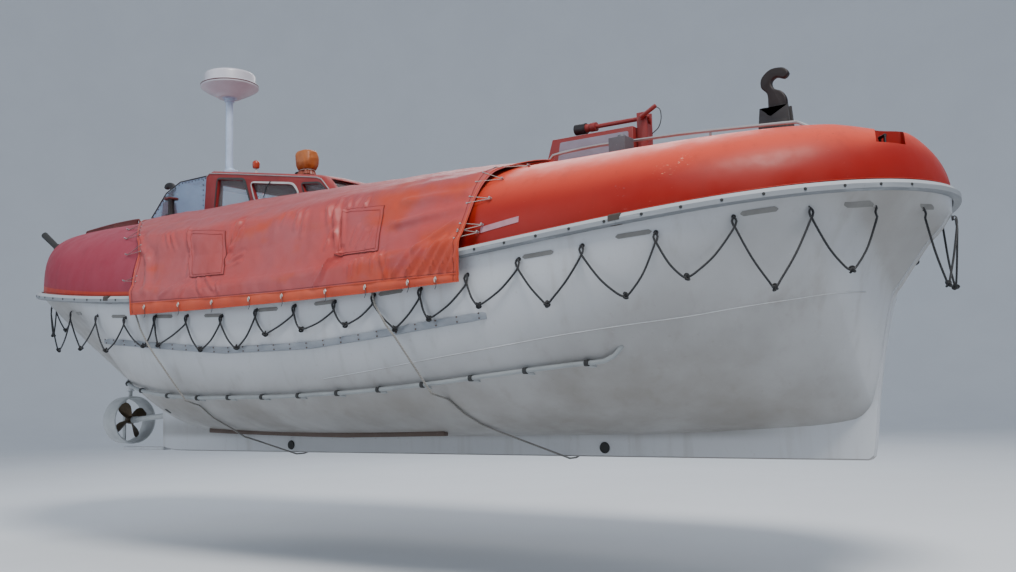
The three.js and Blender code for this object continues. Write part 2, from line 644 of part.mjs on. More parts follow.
const STOCK = { r: 27, top: 985, trunkIn: 34, trunkOut: 52, trunkLow: 800 };
const ring = turned([
  [NOZZLE.inner, -NOZZLE.aft], [NOZZLE.outer - 8, -NOZZLE.aft], [NOZZLE.outer, 60],
  [NOZZLE.outer - 6, NOZZLE.fore], [NOZZLE.inner + 10, NOZZLE.fore], [NOZZLE.inner, 60],
  [NOZZLE.inner, -NOZZLE.aft],
], [SHAFT.x, 0, SHAFT.z], [1, 0, 0], 32);
const stock = bar([NOZZLE.pivotX, 0, SHAFT.z + NOZZLE.outer - 16],
  [NOZZLE.pivotX, 0, STOCK.top], STOCK.r, STOCK.r, 16);
const fin = (x0, x1) => loft([SHAFT.z - NOZZLE.inner - 6, SHAFT.z + NOZZLE.inner + 6].map((z) => [
  [x0, -7, z], [x1, -7, z], [x1, 7, z], [x0, 7, z]]));
add("steering_nozzle", join(ring, stock, fin(-5215, -5150)), "white");
add("rudder_trunk", offHull(turned([
  [STOCK.trunkIn, 0], [STOCK.trunkOut, 0], [STOCK.trunkOut, 420], [STOCK.trunkIn, 420],
  [STOCK.trunkIn, 0],
], [NOZZLE.pivotX, 0, STOCK.trunkLow], [0, 0, 1], 16)), "hull");

// Release hooks on the centreline.
const HOOKS = [
  { name: "bow", x: 4400, side: 1, foot: 2716, lift: 130, size: 1.25, back: 80, look: "black" },
  { name: "stern", x: -4230, side: -1, foot: 2931, lift: 230, size: 1, back: 0, look: "darkRed" },
];
const JAW = [[-52, -40], [52, -40], [70, 20], [74, 120], [116, 176], [110, 244], [44, 296],
  [-50, 292], [-86, 246], [-52, 214], [4, 232], [40, 204], [26, 158], [-34, 122], [-62, 60]];
for (const { name, x, side, foot, lift, size, back, look } of HOOKS) {
  const top = foot + 130 + lift;
  const notch = back ? [[x - 50, top + 70], [x - 62, top + 8], [x - 96, top + 8], [x - 104, top + 70]] : [];
  const cheek = (y) => sidePrism([[x - 110 - back, foot + 30], [x + 120, foot + 30],
    [x + 78 * size, top + 70], ...notch, [x - 78 - back, top + 70]], y - 9, y + 9);
  const base = join(
    box(x - 180, x + 180, -95, 95, foot + 1, foot + 34),
    box(x - 90, x + 90, -62, 62, foot + 30, top - 55),
    cheek(-44), cheek(44));
  add(name + "_hook_base", base, look);
  add(name + "_hook", cutOutline(JAW.map(([u, w]) => [x - side * size * u, top + 44 + size * w]), -28, 28),
    "black");
}

// Wheelhouse.
const HOUSE = { half: 750, wall: 36 };
const HOUSE_SIDE = [[-2520, 2700], [-2466, 3372], [-2405, 3408], [-570, 3085], [-500, 3058],
  [-350, 2890], [-335, 2700]];
const HOUSE_SLICES = [[-750, 46], [-690, 8], [-350, -12], [350, -12], [690, 8], [750, 46]];
function houseSolid(inset) {
  const mid = [-1400, 2960];
  return loft(HOUSE_SLICES.map(([y, lower]) => HOUSE_SIDE.map(([x, z], i) => {
    const high = z > 2720 ? 1 : 0;
    return [
      x + (x < mid[0] ? inset : -inset),
      y - Math.sign(y) * inset,
      high ? z - lower - inset * (x > -520 ? 0.6 : 1) : z - (inset ? 200 : 0),
    ];
  })));
}
const SIDE_WINDOWS = [
  [[-2290, 2920], [-2240, 3262], [-1790, 3183], [-1675, 2914]],
  [[-1560, 2912], [-1645, 3130], [-945, 3010], [-850, 2892]],
];
const FRONT_QUARTER = [[-745, 2888], [-795, 2995], [-545, 2960], [-415, 2884]];
const deckCutter = roofBlank(GAP, 1100, true);
const houseShell = cut(houseSolid(0), houseSolid(HOUSE.wall),
  ...[...SIDE_WINDOWS, FRONT_QUARTER].map((w) => sidePrism(w, -900, 900)),
  ...[-1, 1].map((s) => box(-600, -200, s * 327 - 283, s * 327 + 283, 2920, 3035)),
  box(-2600, -2380, -520, 520, 2800, 3260), deckCutter);
add("wheelhouse", houseShell, "red");

// Panes lie just inside the walls, each long enough for its whole side.
const paneSheet = cut(houseSolid(HOUSE.wall + 3), houseSolid(HOUSE.wall + 8), deckCutter);
for (const { name, s } of SIDES)
  add("side_glass_" + name, within(paneSheet, loft([640, 760].map((y) => [[-2370, 2700],
    [-2370, 3290], [-1500, 3135], [-520, 2962], [-410, 2872], [-410, 2700]]
    .map(([x, z]) => [x, s * y, z])))), "glass");
add("windscreen", within(paneSheet, box(-560, -200, -630, 630, 2700, 3046)), "glass");

const DODGER = [[-3560, 2960], [-3260, 3240], [-2980, 3342], [-2476, 3342], [-2528, 2700], [-3560, 2700]];
const DODGER_IN = [[-3548, 2966], [-3252, 3234], [-2978, 3334], [-2400, 3334], [-2400, 2600], [-3548, 2600]];
add("aft_clear_panel", cut(sidePrism(DODGER.map(([x, z]) => [x - 2, z]), -742, 742),
  sidePrism(DODGER_IN, -734, 734), deckCutter), "glass");

add("helm_console", sidePrism([[-1130, hullTop(-1130) + 3], [-1160, 2900], [-1100, 3010],
  [-870, 2890], [-870, hullTop(-1130) + 3]], -480, 480), "grey");
add("helm_seat", join(
  box(-2050, -1640, -260, 260, 2480, 2560), box(-2050, -1990, -250, 250, 2540, 3080),
  bar([-1850, 0, hullTop(-1950) + 3], [-1850, 0, 2500], 60)), "black");

// On the roof.
const houseSkin = houseSolid(-GAP);
const onRoof = (geometry) => cut(geometry, houseSkin);
// Height of the roof's line at x, before its edges fall away.
const roofAt = (x) => 3408 + ((x + 2405) * (3085 - 3408)) / (2405 - 570) + 8;
const MAST = { x: -2340, y: -510, top: 4340, r: 46, base: 92 };
add("radar_mast", onRoof(join(
  bar([MAST.x, MAST.y, roofAt(MAST.x) - 60], [MAST.x, MAST.y, MAST.top], MAST.r, MAST.r, 16),
  bar([MAST.x + 30, MAST.y, roofAt(MAST.x) - 60], [MAST.x + 30, MAST.y, roofAt(MAST.x) + 14],
    MAST.base, MAST.base, 16))), "white");
add("radome", turned([[0, 0], [138, 0], [150, 12], [340, 118], [350, 132], [350, 150], [345, 165],
  [306, 175], [306, 275], [290, 295], [0, 300]], [MAST.x, MAST.y, MAST.top + GAP], [0, 0, 1], 28),
  "white");
add("beacon", onRoof(turned([[0, -40], [26, -40], [26, 12], [14, 18], [14, 62], [40, 76], [44, 122],
  [34, 152], [0, 162]], [-1860, -500, roofAt(-1860)], [0, 0, 1], 12)), "orange");
const LIGHT = { x: -1250, y: -250 };
const lightFoot = roofAt(LIGHT.x) + 20;
add("searchlight_bracket", onRoof(join(
  box(LIGHT.x - 70, LIGHT.x + 70, LIGHT.y - 60, LIGHT.y + 60, lightFoot - 70, lightFoot + 14),
  bar([LIGHT.x, LIGHT.y, lightFoot + 10], [LIGHT.x, LIGHT.y, lightFoot + 60], 30))), "black");
// The lamp in its fabric hood: rows of height above its foot, half length, half width.
const HOOD = [[66, 62, 60], [90, 108, 104], [200, 138, 126], [290, 126, 108], [316, 76, 66]];
const blunt = (v) => Math.sign(v) * Math.pow(Math.abs(v), 0.7);
add("searchlight", join(
  loft(HOOD.map(([up, a, b]) => Array.from({ length: 14 }, (_, i) => {
    const t = (i * Math.PI) / 7;
    return [LIGHT.x + a * blunt(Math.cos(t)), LIGHT.y + b * blunt(Math.sin(t)), lightFoot + up];
  }))), bar([LIGHT.x, LIGHT.y, lightFoot + 66], [LIGHT.x, LIGHT.y, lightFoot + 120], 40)), "orange");

// On the forward back.
const TRUNK = { x0: 2110, x1: 3015, half: 110, top: 3122, fall: 17, splay: 130 };
const backCutter = loft(stationsBetween(-TIP, TIP).map((x) => canopyLoop(x, 1.5, 0)));
const deckStrip = solid(roofBlank(GAP, ROOF_HALF + 2, true));
const standing = (geometry) => shapeOf(solid(geometry).subtract(solid(backCutter)).subtract(deckStrip));
add("name_trunk", standing(loft([-1, 1].map((k) => [
  [TRUNK.x0 - TRUNK.splay, k * (TRUNK.half + 12), 2700], [TRUNK.x0, k * TRUNK.half, TRUNK.top],
  [TRUNK.x1, k * TRUNK.half, TRUNK.top - TRUNK.fall], [TRUNK.x1, k * (TRUNK.half + 12), 2700],
]))), "red");
add("grey_box", standing(join(box(3020, 3190, -600, -430, 2550, 2885),
  bar([3110, -510, 2880], [3110, -510, 2915], 44, 36))), "grey");
const POLE = { x: 3085, pivotZ: 3190, r: 22, cheek: 40 };
add("light_post", standing(join(
  box(POLE.x - 52, POLE.x + 52, -58, 58, 2650, 3120),
  box(POLE.x - 52, POLE.x + 52, -58, -POLE.cheek, 3090, 3235),
  box(POLE.x - 52, POLE.x + 52, POLE.cheek, 58, 3090, 3235),
  bar([POLE.x, -78, POLE.pivotZ - 10], [POLE.x + 165, -78, POLE.pivotZ + 74], 20, 20, 10),
  bar([POLE.x, -45, POLE.pivotZ - 10], [POLE.x, -84, POLE.pivotZ - 10], 24, 24, 10))), "red");
// The mast lies back along the trunk, and a short arm goes on from the post's cheek.
add("light_mast", join(
  bar([POLE.x + 60, 0, POLE.pivotZ], [2480, 0, POLE.pivotZ + 14], POLE.r, POLE.r, 12),
  bar([POLE.x, -34, POLE.pivotZ], [POLE.x, 34, POLE.pivotZ], 30, 30, 12),
  bar([2560, 0, POLE.pivotZ + 12], [2500, 0, POLE.pivotZ + 13], 46, 46, 12),
  bar([2490, 0, POLE.pivotZ + 13], [2330, 0, POLE.pivotZ + 17], 40, 52, 12)), "red");

function handrail(points, feet, r) {
  const parts = [tube(points, r, 20, 6, 0.3)];
  for (const [x, y, top] of feet) {
    const foot = Math.max(backAt(x - 40, y, 3), backAt(x + 40, y, 3), backAt(x, Math.abs(y) - 40, 3));
    parts.push(bar([x, y, foot], [x, y, top], 11, 11, 6), bar([x, y, foot], [x, y, foot + 9], 34, 34, 8));
  }
  return join(...parts);
}
// The rails' points: x and height.
const BOW_HANDRAIL = [[2190, 2795], [2225, 2840], [2310, 2893], [2780, 2900], [3200, 2880],
  [3640, 2860], [4190, 2820], [4650, 2782], [4745, 2762], [4785, 2715]];
for (const { name, s } of SIDES) {
  const y = s * 375;
  add("bow_handrail_" + name, standing(handrail(BOW_HANDRAIL.map(([x, z]) => [x, y, z]),
    [[3030, y, 2880], [3910, y, 2835], [4780, y, 2725]], 15)), "steel");
  const yy = s * 780;
  const zz = (x, up) => backAt(x, 780, 0) + up;
  const xs = [-4900, -4300, -3800];
  add("stern_board_" + name, join(
    handrail([[-4960, yy, zz(-4960, 20)], [-4920, yy, zz(-4920, 66)], [-4300, yy, zz(-4300, 72)],
      [-3780, yy, zz(-3780, 72)], [-3740, yy, zz(-3740, 22)]],
    [[-4950, yy, zz(-4950, 36)], [-4300, yy, zz(-4300, 70)], [-3750, yy, zz(-3750, 36)]], 13),
    loft(xs.map((x) => [[x, yy - 9, zz(x, 14)], [x, yy + 9, zz(x, 14)],
      [x, yy + 9, zz(x, 68)], [x, yy - 9, zz(x, 68)]]))), "darkRed");
  const px = -5260;
  const py = s * 970;
  const foot = [px, py, backAt(px, 970, 4)];
  add("stern_bollard_" + name, standing(join(
    bar([px, py, foot[2] - 60], [px - 60, py + s * 15, foot[2] + 80], 52, 46, 14),
    bar([px - 45, py + s * 12, foot[2] + 50], [px - 320, py + s * 40, foot[2] + 250], 40, 44, 14))), "black");
}

for (const { name, s } of SIDES) {
  const at = (x, y, up) => [x, s * y, POCKET_FLOOR + up];
  add("bow_eye_" + name, join(
    loft([GAP, 10].map((up) => [at(5310, 400, up), at(5410, 370, up), at(5440, 490, up), at(5350, 520, up)])),
    bar(at(5340, 420, 6), at(5340, 420, 106), 11), bar(at(5392, 478, 6), at(5392, 478, 106), 11),
    bar(at(5334, 413, 104), at(5398, 485, 104), 13)), "black");
}

export default group;
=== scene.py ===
import contextlib
import functools
import json
import math

import bmesh
import bpy
import numpy as np
from bpy.props import FloatProperty, FloatVectorProperty, PointerProperty
from mathutils import Matrix, Vector, noise

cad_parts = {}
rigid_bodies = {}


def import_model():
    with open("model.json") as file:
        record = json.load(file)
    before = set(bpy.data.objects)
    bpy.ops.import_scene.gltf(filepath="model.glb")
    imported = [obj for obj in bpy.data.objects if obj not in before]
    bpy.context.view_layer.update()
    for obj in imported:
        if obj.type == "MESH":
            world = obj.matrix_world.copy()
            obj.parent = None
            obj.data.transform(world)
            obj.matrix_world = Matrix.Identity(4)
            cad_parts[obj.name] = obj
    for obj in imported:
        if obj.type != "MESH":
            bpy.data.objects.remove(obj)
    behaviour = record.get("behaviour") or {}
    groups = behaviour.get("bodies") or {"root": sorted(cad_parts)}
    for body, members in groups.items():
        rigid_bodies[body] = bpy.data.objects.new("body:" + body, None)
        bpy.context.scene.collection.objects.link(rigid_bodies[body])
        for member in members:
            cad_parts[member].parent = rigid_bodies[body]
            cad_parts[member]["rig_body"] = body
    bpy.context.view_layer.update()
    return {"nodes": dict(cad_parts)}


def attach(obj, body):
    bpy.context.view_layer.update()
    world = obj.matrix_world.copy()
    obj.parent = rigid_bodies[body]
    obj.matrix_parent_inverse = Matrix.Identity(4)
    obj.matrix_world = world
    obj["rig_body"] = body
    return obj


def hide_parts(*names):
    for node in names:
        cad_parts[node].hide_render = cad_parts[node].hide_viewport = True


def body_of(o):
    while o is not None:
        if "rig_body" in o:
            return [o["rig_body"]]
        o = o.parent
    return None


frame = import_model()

bl_info = {
    "name": "Ship's Lifeboat",
    "version": (1, 0, 0),
    "blender": (4, 5, 0),
    "location": "3D View > Sidebar > Lifeboat",
    "description": "Dresses the packed model of a partially enclosed lifeboat",
    "category": "Object",
}

IMAGE = (1016, 572)

# Heights in the tables are measured up from the keel's underside, and the part's
# origin is at the light waterline.
DRAFT = 0.7
HALF_LENGTH = 5.74
END = HALF_LENGTH * 0.9997
HALF_BEAM = 1.935
FLOOR = -1.73

# Hull lines, as (x, value) rows.
KEEL_UNDERSIDE = [
    (-5.74, 1.64), (-5.7, 1.44), (-5.5, 1.27), (-5.05, 1.04), (-4.65, 0.76),
    (-4.21, 0.48), (-4.2, 0.04), (-3.7, 0), (4.985, 0), (5.03, 0.03), (5.08, 0.4),
    (5.13, 0.7), (5.2, 1.08), (5.25, 1.29), (5.33, 1.4), (5.43, 1.54),
    (5.56, 1.71), (5.66, 1.81), (5.74, 1.93),
]
KEEL_HALF_WIDTH = [
    (-5.74, 0.02), (-5.5, 0.055), (-4.21, 0.07), (-3.5, 0.08), (4, 0.08), (4.9, 0.05),
    (5.25, 0.04), (5.74, 0.022),
]
BOTTOM_HEIGHT = [
    (-5.74, 1.7), (-5.7, 1.48), (-5.5, 1.3), (-5.05, 1.065), (-4.65, 0.8), (-4.2, 0.53),
    (-4, 0.45), (-3, 0.3), (-2, 0.225), (0, 0.2), (3, 0.215), (4.2, 0.26), (4.9, 0.33),
    (5.02, 0.42), (5.08, 0.56), (5.13, 0.79), (5.2, 1.12), (5.25, 1.32), (5.33, 1.43),
    (5.43, 1.565), (5.56, 1.73), (5.66, 1.835), (5.74, 1.95),
]
FULLNESS = [
    (-5.74, 1.1), (-5, 1.1), (-4.5, 1.06), (-3.73, 1.09), (-3.37, 1.3), (-3.11, 1.57),
    (-2.85, 1.9), (-2, 2.75), (0, 3.05), (1.8, 2.9), (2.8, 2.45), (3.6, 1.9), (4.3, 1.45),
    (4.9, 1.12), (5.3, 0.95), (5.74, 0.9),
]
CROWN = [
    (-5.74, 2.42), (-5.7, 2.6), (-5.62, 2.73), (-5.48, 2.815), (-5.2, 2.892), (-4.6, 2.93),
    (-3, 2.925), (2, 2.76), (3, 2.725), (4.5, 2.715), (5, 2.695), (5.15, 2.665), (5.3, 2.625),
    (5.48, 2.59), (5.6, 2.47), (5.68, 2.33), (5.74, 2.16),
]
ROUNDNESS = [(-5.74, 4), (-5.3, 3.8), (-4.5, 3.1), (-3, 2.6), (0, 2.5), (5.74, 2.5)]
CANOPY_IN = [(-5.74, 0.008), (-5, 0.02), (-3.5, 0.055)]
ROOF_OVER = [(-3, 0.034), (-1.85, 0.048), (-0.6, 0.062), (1.5, 0.062), (2.4, 0.038)]
ROOF_HALF = 0.76

# Heights of the side covers' lower edge and of the seam above it.
HEM_LINE = [
    (-3.6, 1.556), (-2.06, 1.55), (-0.7, 1.522), (0.3, 1.51), (1.3, 1.508), (2.55, 1.52),
]
SEAM_LINE = [
    (-3.6, 1.72), (-2.06, 1.706), (-0.7, 1.656), (0.3, 1.634), (1.3, 1.63), (2.55, 1.612),
]
# Share of the way from hem to ridge, and x, at the two ends of the side covers.
COVER_AFT_EDGE = [(0, -2.08), (0.2, -2.12), (0.45, -2.48), (0.7, -2.95), (1, -3.55)]
COVER_FORE_EDGE = [(0, 2.39), (0.5, 2.41), (0.8, 2.47), (1, 2.55)]

# Grab lines: x of the eye, its drop below the rail's top, then the next bight's share
# of the way on and its drop.
GRAB_SIDE = [
    (-5.6, 0.19, 0.5, 0.52), (-5.25, 0.19, 0.5, 0.56), (-4.87, 0.195, 0.46, 0.69),
    (-3.762, 0.2, 0.45, 0.605), (-2.894, 0.223, 0.39, 0.598), (-2.3, 0.234, 0.66, 0.534),
    (-1.749, 0.221, 0.14, 0.52), (-1.217, 0.229, 0.43, 0.575), (-0.672, 0.251, 0.48, 0.574),
    (-0.155, 0.224, 0.27, 0.465), (0.378, 0.228, 0.2, 0.456), (0.9, 0.247, 0.3, 0.47),
    (1.379, 0.247, 0.48, 0.572), (1.912, 0.271, 0.2, 0.532), (2.406, 0.228, 0.24, 0.494),
    (2.908, 0.187, 0.45, 0.583), (3.469, 0.182, 0.58, 0.619), (4.042, 0.19, 0.38, 0.552),
    (4.577, 0.168, 0.48, 0.711), (5.037, 0.167, 0.56, 0.629), (5.366, 0.173, 0, 0),
]
PORT_LAST_DROP = 0.39
ROPE_OFF, EYE_WIRE = 0.026, 0.009
STEM_EYE = (HALF_LENGTH + 0.028, 0.0, 1.889)

# Lines drawn tight under the keel: distance out and height down the side, then each
# line's x there, and its rows under the bottom (x, distance out, how far below).
LINE_SIDE = [
    (1.99, 1.57), (1.991, 1.4), (1.984, 1.215), (1.978, 1.11), (1.794, 0.655), (1.788, 0.63),
]
KEEL_LINES = {
    "keel_line_fore": ([1.385, 1.44, 1.56, 1.655, 1.87, 1.88], 2.165,
        [(1.915, 1.6, 0.02), (1.96, 1.44, 0.02), (2.0, 1.26, 0.02), (2.04, 1.06, 0.02)]),
    "keel_line_aft": ([-2.03, -1.94, -1.8, -1.7, -1.45, -1.44], -1.64,
        [(-1.42, 1.62, 0.028), (-1.4, 1.46, 0.028), (-1.385, 1.24, 0.028), (-1.38, 1.05, 0.072),
         (-1.41, 0.95, 0.07)]),
}

RAIL_PROUD = 0.062
RAIL_HEIGHT = 0.08
RAIL_SECTION = [(0.004, -1), (0.45, -1), (1, -0.2), (1, 0.7), (0.75, 1), (0.004, 1)]
STRAP_SECTION = [(0.1, -1.06), (0.5, -1.06), (1.05, -0.25), (1.05, 0.75), (0.8, 1.07), (0.1, 1.07)]
RAIL_JOINT = (3.76, -2.6)
STRAKE_LINE = [
    (-2.9, 1.33), (-2.3, 1.27), (-1.5, 1.19), (-0.7, 1.115), (0.5, 1.1), (1.2, 1.14),
    (1.9, 1.195), (2.55, 1.245),
]
PIPE_LINE = [
    (-3.56, 0.945), (-3.4, 0.92), (-2.88, 0.85), (-2.37, 0.76), (-1.85, 0.69), (-1.34, 0.655),
    (0, 0.64), (1, 0.662), (1.9, 0.712), (3, 0.806), (3.44, 0.842),
]
PIPE_ENDS = (-3.54, 3.44)
# How far the pipe's first clamp is from its fore end, and the clamps' pitch.
FIRST_CLAMP, CLAMP_PITCH = 0.137, 0.513
KNUCKLE = [
    (0.6, 0.79), (1.254, 0.849), (1.914, 0.918), (2.606, 0.99), (3.121, 1.048), (3.619, 1.1),
    (4.115, 1.152), (4.451, 1.205), (4.783, 1.255), (5.002, 1.292), (5.16, 1.32),
]
KEEL_DISCS = (2.57, -1.71)
# Grey pads on the hull under the rail: x, height and slope.
PADS = [
    (-3.5, 1.685, -0.085), (-2.44, 1.57, -0.07), (-1.61, 1.512, -0.066), (-0.81, 1.468, -0.05),
    (0.0, 1.47, -0.02), (0.77, 1.477, 0.02), (1.57, 1.505, 0.05), (3.08, 1.683, 0.06),
    (3.87, 1.765, 0.07), (4.73, 1.872, 0.13), (5.28, 1.932, 0.16), (5.62, 1.955, 0.1),
]

# Wheelhouse: its side outline and its windows.
HOUSE_HALF = 0.75
HOUSE_TOP = [(-2.466, 3.372), (-2.405, 3.408), (-0.57, 3.085), (-0.5, 3.058), (-0.35, 2.89)]
WINDOW_AFT = [(-2.29, 2.92), (-2.24, 3.262), (-1.79, 3.183), (-1.675, 2.914)]
WINDOW_MID = [(-1.56, 2.912), (-1.645, 3.13), (-0.945, 3.01), (-0.85, 2.892)]
WINDOW_FORE = [(-0.745, 2.888), (-0.795, 2.995), (-0.545, 2.96), (-0.415, 2.884)]
DODGER_EDGE = [(-3.56, 2.96), (-3.26, 3.24), (-2.98, 3.342), (-2.476, 3.342)]
STUD_PITCH = 0.062
# Where the gear on the roof stands: x and y.
RADAR, BEACON = (-2.34, -0.51), (-1.86, -0.5)
SEARCHLIGHT, DECK_POST = (-1.25, -0.25), (-3.01, -0.85)

SIDES = (("starboard", -1), ("port", 1))


# Reading the lines.
def smooth_read(rows, x):
    """Read a table on a smooth curve that never swings past its rows."""
    xs, vs = np.array(rows, float).T
    gaps = np.diff(xs)
    slope = np.diff(vs) / gaps
    m = np.zeros(len(xs))
    m[0], m[-1] = slope[0], slope[-1]
    for i in range(1, len(xs) - 1):
        if slope[i - 1] * slope[i] > 0:
            a, b = 2 * gaps[i] + gaps[i - 1], gaps[i] + 2 * gaps[i - 1]
            m[i] = (a + b) / (a / slope[i - 1] + b / slope[i])
    x = np.clip(x, xs[0], xs[-1])
    i = np.clip(np.searchsorted(xs, x, side="right") - 1, 0, len(xs) - 2)
    t = (x - xs[i]) / gaps[i]
    return (
        (1 + 2 * t) * (1 - t) ** 2 * vs[i] + t * (1 - t) ** 2 * gaps[i] * m[i]
        + t * t * (3 - 2 * t) * vs[i + 1] + t * t * (t - 1) * gaps[i] * m[i + 1]
    )


def edge_out(x):
    t = min(abs(x) / HALF_LENGTH, 1)
    return HALF_BEAM * max(1 - t ** 5.4, 0) ** 0.575


def sheer(x):
    t = abs(x) / HALF_LENGTH
    return 1.7 + (0.432 * t ** 1.58 if x > 0 else 0.52 * t ** 2.05)


def hull_top(x):
    return sheer(x) - 0.03


def half_section(x, steps=30):
    """Distances out and heights of one side of the hull, from the keel's foot up."""
    keel, foot = smooth_read(KEEL_HALF_WIDTH, x), smooth_read(KEEL_UNDERSIDE, x)
    top = hull_top(x)
    low = min(smooth_read(BOTTOM_HEIGHT, x), top - 0.06)
    wide = max(edge_out(x), keel + 0.008)
    e = 2 / smooth_read(FULLNESS, x)
    a = np.linspace(0, 1, steps + 1) * math.pi / 2
    out = keel + (wide - keel) * np.sin(a) ** e
    up = low + (top - low) * (1 - np.cos(a) ** e)
    foot = min(foot, low - 0.006)
    return np.r_[keel * 0.8, keel, out], np.r_[foot, foot + min(0.012, (low - foot) / 2), up]


def side_at(x, height):
    out, up = half_section(x)
    return float(np.interp(height, up[2:], out[2:]))


def bottom_at(x, out):
    outs, ups = half_section(x)
    return float(np.interp(out, outs[2:], ups[2:]))


def place(x, y, height):
    """A point, with its height given from the keel's underside."""
    return Vector((x, y, height - DRAFT))


def on_hull(x, height, off, side):
    return place(x, side * (side_at(x, height) + off), height)


def hull_normal(x, height, side):
    a = on_hull(x - 0.02, height, 0, side)
    b = on_hull(x + 0.02, height, 0, side)
    c = on_hull(x, height - 0.02, 0, side)
    d = on_hull(x, height + 0.02, 0, side)
    n = (b - a).cross(d - c).normalized()
    return n if n.y * side > 0 else -n


def cover_form(x, out):
    base = hull_top(x)
    return (
        max(edge_out(x) - smooth_read(CANOPY_IN, x) + out, 0.012), base,
        max(smooth_read(CROWN, x) + out - base, 0.012), 2 / smooth_read(ROUNDNESS, x),
    )


def back_at(x, y, out=0.0):
    """Height of the covering's back at x and y, `out` above the canopies."""
    w, base, h, e = cover_form(x, out)
    c = min(abs(y) / w, 1) ** (1 / e)
    return base + h * math.sqrt(max(1 - c * c, 0)) ** e


def form_side(x, height, out):
    """How far out the covering is at a height."""
    w, base, h, e = cover_form(x, out)
    s = min(max((height - base) / h, 0), 1) ** (1 / e)
    return w * math.sqrt(max(1 - s * s, 0)) ** e


# Mesh helpers.
def bare_mesh(name, verts, edges=(), faces=()):
    mesh = bpy.data.meshes.new(name)
    mesh.from_pydata([tuple(v) for v in verts], list(edges), list(faces))
    obj = bpy.data.objects.new(name, mesh)
    bpy.context.scene.collection.objects.link(obj)
    return obj


def new_piece(name, verts, faces, body="boat", uv=None):
    obj = bare_mesh(name, verts, (), faces)
    mesh = obj.data
    mesh.validate()
    if uv is not None:
        layer = mesh.uv_layers.new(name="UVMap")
        for loop in mesh.loops:
            layer.data[loop.index].uv = uv[loop.vertex_index]
    shade(obj)
    if body:
        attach(obj, body)
    return obj


def shade(obj, angle=35):
    """Smooth shading, but for edges sharper than an angle."""
    obj.data.shade_smooth()
    obj.data.set_sharp_from_angle(angle=math.radians(angle))


def paint(obj, *finishes):
    obj.data.materials.clear()
    for name in finishes:
        obj.data.materials.append(finish(name))
    return obj


def skin(rings, closed=True, caps=True):
    """Verts and faces of a skin over rows of points."""
    n = len(rings[0])
    verts = [p for ring in rings for p in ring]
    faces = []
    last = n if closed else n - 1
    for i in range(len(rings) - 1):
        for j in range(last):
            k = (j + 1) % n
            faces.append((i * n + j, i * n + k, (i + 1) * n + k, (i + 1) * n + j))
    if caps and closed:
        faces.append(tuple(reversed(range(n))))
        faces.append(tuple(range((len(rings) - 1) * n, len(rings) * n)))
    return verts, faces


@contextlib.contextmanager
def edited(obj):
    """An object's mesh to edit, written back at the end."""
    bm = bmesh.new()
    bm.from_mesh(obj.data)
    yield bm
    bm.to_mesh(obj.data)
    bm.free()


def face_out(obj):
    """Turn the faces of each shell outward."""
    with edited(obj) as bm:
        bmesh.ops.recalc_face_normals(bm, faces=bm.faces)


def outward(obj):
    """Merge doubles and turn every face of a closed mesh outward."""
    with edited(obj) as bm:
        bmesh.ops.remove_doubles(bm, verts=bm.verts, dist=1e-5)
        bmesh.ops.recalc_face_normals(bm, faces=bm.faces)
        if bm.calc_volume(signed=True) < 0:
            bmesh.ops.reverse_faces(bm, faces=bm.faces)
    return obj


def closed_shape(name, rings, looped=False):
    """A bare closed shape over rings of points: a tube with two ends, or a loop."""
    verts, faces = skin(rings + rings[:1] if looped else rings, caps=not looped)
    return outward(bare_mesh(name, verts, (), faces))


def settle(obj):
    """Apply what modifiers an object has and leave a plain mesh."""
    deps = bpy.context.evaluated_depsgraph_get()
    mesh = bpy.data.meshes.new_from_object(obj.evaluated_get(deps), depsgraph=deps)
    mesh.name = obj.name
    old, obj.data = obj.data, mesh
    obj.modifiers.clear()
    bpy.data.meshes.remove(old)
    return obj


def thicken(obj, thickness):
    """Give an open sheet its thickness, inwards from its faces."""
    m = obj.modifiers.new("thickness", "SOLIDIFY")
    m.thickness, m.offset = thickness, -1
    settle(obj)


def refined(node, mat, bevel=0.003, angle=32, segments=2):
    """A copy of a solid with welded corners, small rounds on its edges and its own finish."""
    src = frame["nodes"][node]
    obj = bpy.data.objects.new(node + "_finished", src.data.copy())
    bpy.context.scene.collection.objects.link(obj)
    with edited(obj) as bm:
        bmesh.ops.remove_doubles(bm, verts=bm.verts, dist=2e-5)
        bmesh.ops.dissolve_limit(bm, angle_limit=math.radians(0.6), verts=bm.verts, edges=bm.edges)
    if bevel:
        m = obj.modifiers.new("edge", "BEVEL")
        m.width, m.segments, m.limit_method = bevel, segments, "ANGLE"
        m.angle_limit = math.radians(angle)
        m.use_clamp_overlap = True
        settle(obj)
    shade(obj, angle)
    paint(obj, mat)
    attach(obj, body_of(src)[0])
    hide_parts(node)
    return obj


def smooth_path(points, step):
    """Points every `step` along a curve that bends softly through the given ones."""
    p = [Vector(q) for q in points]
    p = [2 * p[0] - p[1], *p, 2 * p[-1] - p[-2]]
    out = []
    for a, b, c, d in zip(p, p[1:], p[2:], p[3:]):
        n = max(int((c - b).length / step), 1)
        t0, t1 = (c - a) / 2, (d - b) / 2
        for k in range(n):
            t = k / n
            out.append(b * (2 * t ** 3 - 3 * t * t + 1) + t0 * (t ** 3 - 2 * t * t + t)
                       + c * (3 * t * t - 2 * t ** 3) + t1 * (t ** 3 - t * t))
    out.append(p[-2])
    return out


